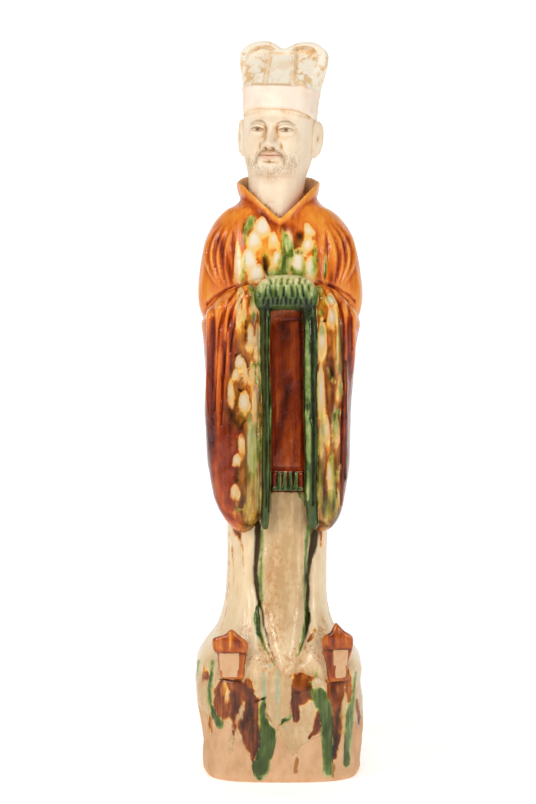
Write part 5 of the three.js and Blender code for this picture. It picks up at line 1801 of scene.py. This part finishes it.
def pottery():
    """Three glazes that run into each other over cream, with bare clay and a white, painted head."""
    s = Shading("glazed_pottery")
    s.drift = s.noise(9, (1, 1, 0.55), 3)
    s.wobble = s.add((s.drift, 1.3), (s.noise(3.2, (1, 1, 0.45), 2, 4.0), 0.4))
    s.softness = s.lay(s.noise(17, (1, 1, 0.6), 1, 12.0), -0.7, 0.9, 0.45, 2.4)
    s.runs = s.noise(3.4, (1, 1, 0.06), 3, 2.0)
    s.slow_runs = s.noise(14, (1, 1, 0.16), 2, 7.0)
    s.cloud = s.noise(22, (1, 1, 0.7), 3, 3.0)
    s.speck = s.noise(1.1, (1, 1, 1), 2, 5.0)
    s.hollow = s.lay(s.field("hollow"), -0.9, 0.9, -1, 1)

    colour = green_glaze(s, amber_glaze(s, cream_glaze(s)))
    dark = s.times(s.edge(s.add(s.field("dark"), s.wobble), -1.3, 1.6), 0.93)
    colour, bare = bare_clay(s, s.blend(dark, colour, DARK_GLAZE))
    white = s.lay(s.field("white"), -0.5, 0.5)
    colour = s.blend(white, colour, painted_head(s))

    matt = s.calc("MAXIMUM", bare, white)
    glossy = s.add(0.145, (s.cloud, 0.04), (s.speck, 0.02))
    glossy = s.calc("MAXIMUM", glossy, s.times(dark, 0.45))
    ripples = s.add((s.noise(5, (1, 1, 0.5), 2, 8.0), 0.24), (s.runs, 0.05))
    grain = s.add((s.speck, 0.1), (s.noise(0.5, (1, 1, 1), 2, 6.0), 0.05))
    grain = s.add(grain, (bare, s.add((s.cloud, 0.8), (s.drift, 0.25))))
    height = s.times(s.between(matt, ripples, grain), UNIT)
    relief = s.node("Bump", {"Height": height, "Strength": 1.0, "Distance": 1.0})
    shine = s.add(0.5, (matt, -0.2), (dark, -0.5), (s.calc("MAXIMUM", s.hollow, 0.0), -0.42))
    s.shader.inputs["IOR"].default_value = GLAZE_IOR
    s.link(s.calc("MAXIMUM", shine, 0.03), "Specular IOR Level")
    s.link(colour, "Base Color")
    s.link(s.between(matt, glossy, MATT_ROUGHNESS), "Roughness")
    s.link(relief.outputs["Normal"], "Normal")
    return s.material


def backdrop():
    """A pale floor that curves up into a pale wall far behind."""
    front, bend_at, bend, top, half = -6, 3.2, 1.6, 6, 7
    turns = np.linspace(0, math.pi / 2, 16)
    curve = [(bend_at + bend * math.sin(turn), bend - bend * math.cos(turn)) for turn in turns]
    profile = [(front, 0)] + curve + [(bend_at + bend, top)]
    mesh = bpy.data.meshes.new("backdrop")
    corners = [(x, y, z) for y, z in profile for x in (-half, half)]
    strips = len(profile) - 1
    mesh.from_pydata(corners, [], [(2 * i, 2 * i + 1, 2 * i + 3, 2 * i + 2) for i in range(strips)])
    mesh.polygons.foreach_set("use_smooth", np.ones(strips, bool))
    made = bpy.data.objects.new("backdrop", mesh)
    bpy.context.scene.collection.objects.link(made)
    paper = bpy.data.materials.new("paper")
    paper.use_nodes = True
    shader = paper.node_tree.nodes["Principled BSDF"]
    shader.inputs["Base Color"].default_value = (0.80, 0.80, 0.79, 1)
    shader.inputs["Emission Color"].default_value = (1, 1, 0.99, 1)
    shader.inputs["Emission Strength"].default_value = 0.5
    shader.inputs["Roughness"].default_value = 0.9
    shader.inputs["Specular IOR Level"].default_value = 0.1
    mesh.materials.append(paper)
    return made


def lamp(name, place, aim, size, power, colour=(1, 1, 1)):
    light = bpy.data.lights.new(name, "AREA")
    light.shape, light.size, light.size_y = "RECTANGLE", *size
    light.energy, light.color = power, colour
    made = bpy.data.objects.new(name, light)
    made.location = place
    made.rotation_euler = (Vector(aim) - Vector(place)).to_track_quat("-Z", "Y").to_euler()
    bpy.context.scene.collection.objects.link(made)


def studio():
    scene = bpy.context.scene
    world = bpy.data.worlds.new("studio")
    world.use_nodes = True
    world.node_tree.nodes["Background"].inputs["Color"].default_value = (1, 1, 1, 1)
    world.node_tree.nodes["Background"].inputs["Strength"].default_value = 0.15
    scene.world = world
    lamp("left", (-1.9, -2.0, 1.5), (0, 0, 0.55), (0.42, 1.5), 30, (1, 0.98, 0.95))
    lamp("left_strip", (-2.4, -0.7, 1.1), (0, 0, 0.6), (0.35, 1.5), 4)
    lamp("right_strip", (2.4, -0.6, 1.0), (0, 0, 0.6), (0.35, 1.5), 3)
    lamp("right", (2.0, -2.0, 1.3), (0, 0, 0.55), (0.42, 1.6), 24, (1, 0.99, 0.97))
    lamp("above", (-0.2, -2.0, 3.0), (0, 0, 0.8), (0.9, 0.5), 21)
    lamp("wall", (0, 1.2, 3.6), (0, 4.4, 1.4), (3.6, 1), 50)
    scene.view_settings.view_transform = "Standard"


def camera():
    scene = bpy.context.scene
    data = bpy.data.cameras.new("camera")
    made = bpy.data.objects.new("camera", data)
    scene.collection.objects.link(made)
    frame_px, frame_py = 536, 804
    across = (frame_px / 2 - AXIS_PX) * PIXEL
    up = (FLOOR_PY - frame_py / 2) * PIXEL
    place = Vector((across, -CAMERA_DISTANCE, CAMERA_HEIGHT)) * UNIT
    aim = Vector((across, 0, up)) * UNIT
    made.location = place
    made.rotation_euler = (aim - place).to_track_quat("-Z", "Y").to_euler()
    data.sensor_fit = "VERTICAL"
    data.angle = 2 * math.atan(frame_py / 2 * PIXEL / CAMERA_DISTANCE)
    data.dof.use_dof = False
    data.clip_end = 40
    scene.camera = made


attendant = figure()
attendant.data.materials.append(pottery())
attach(attendant, "root")
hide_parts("attendant")
backdrop()
studio()
camera()
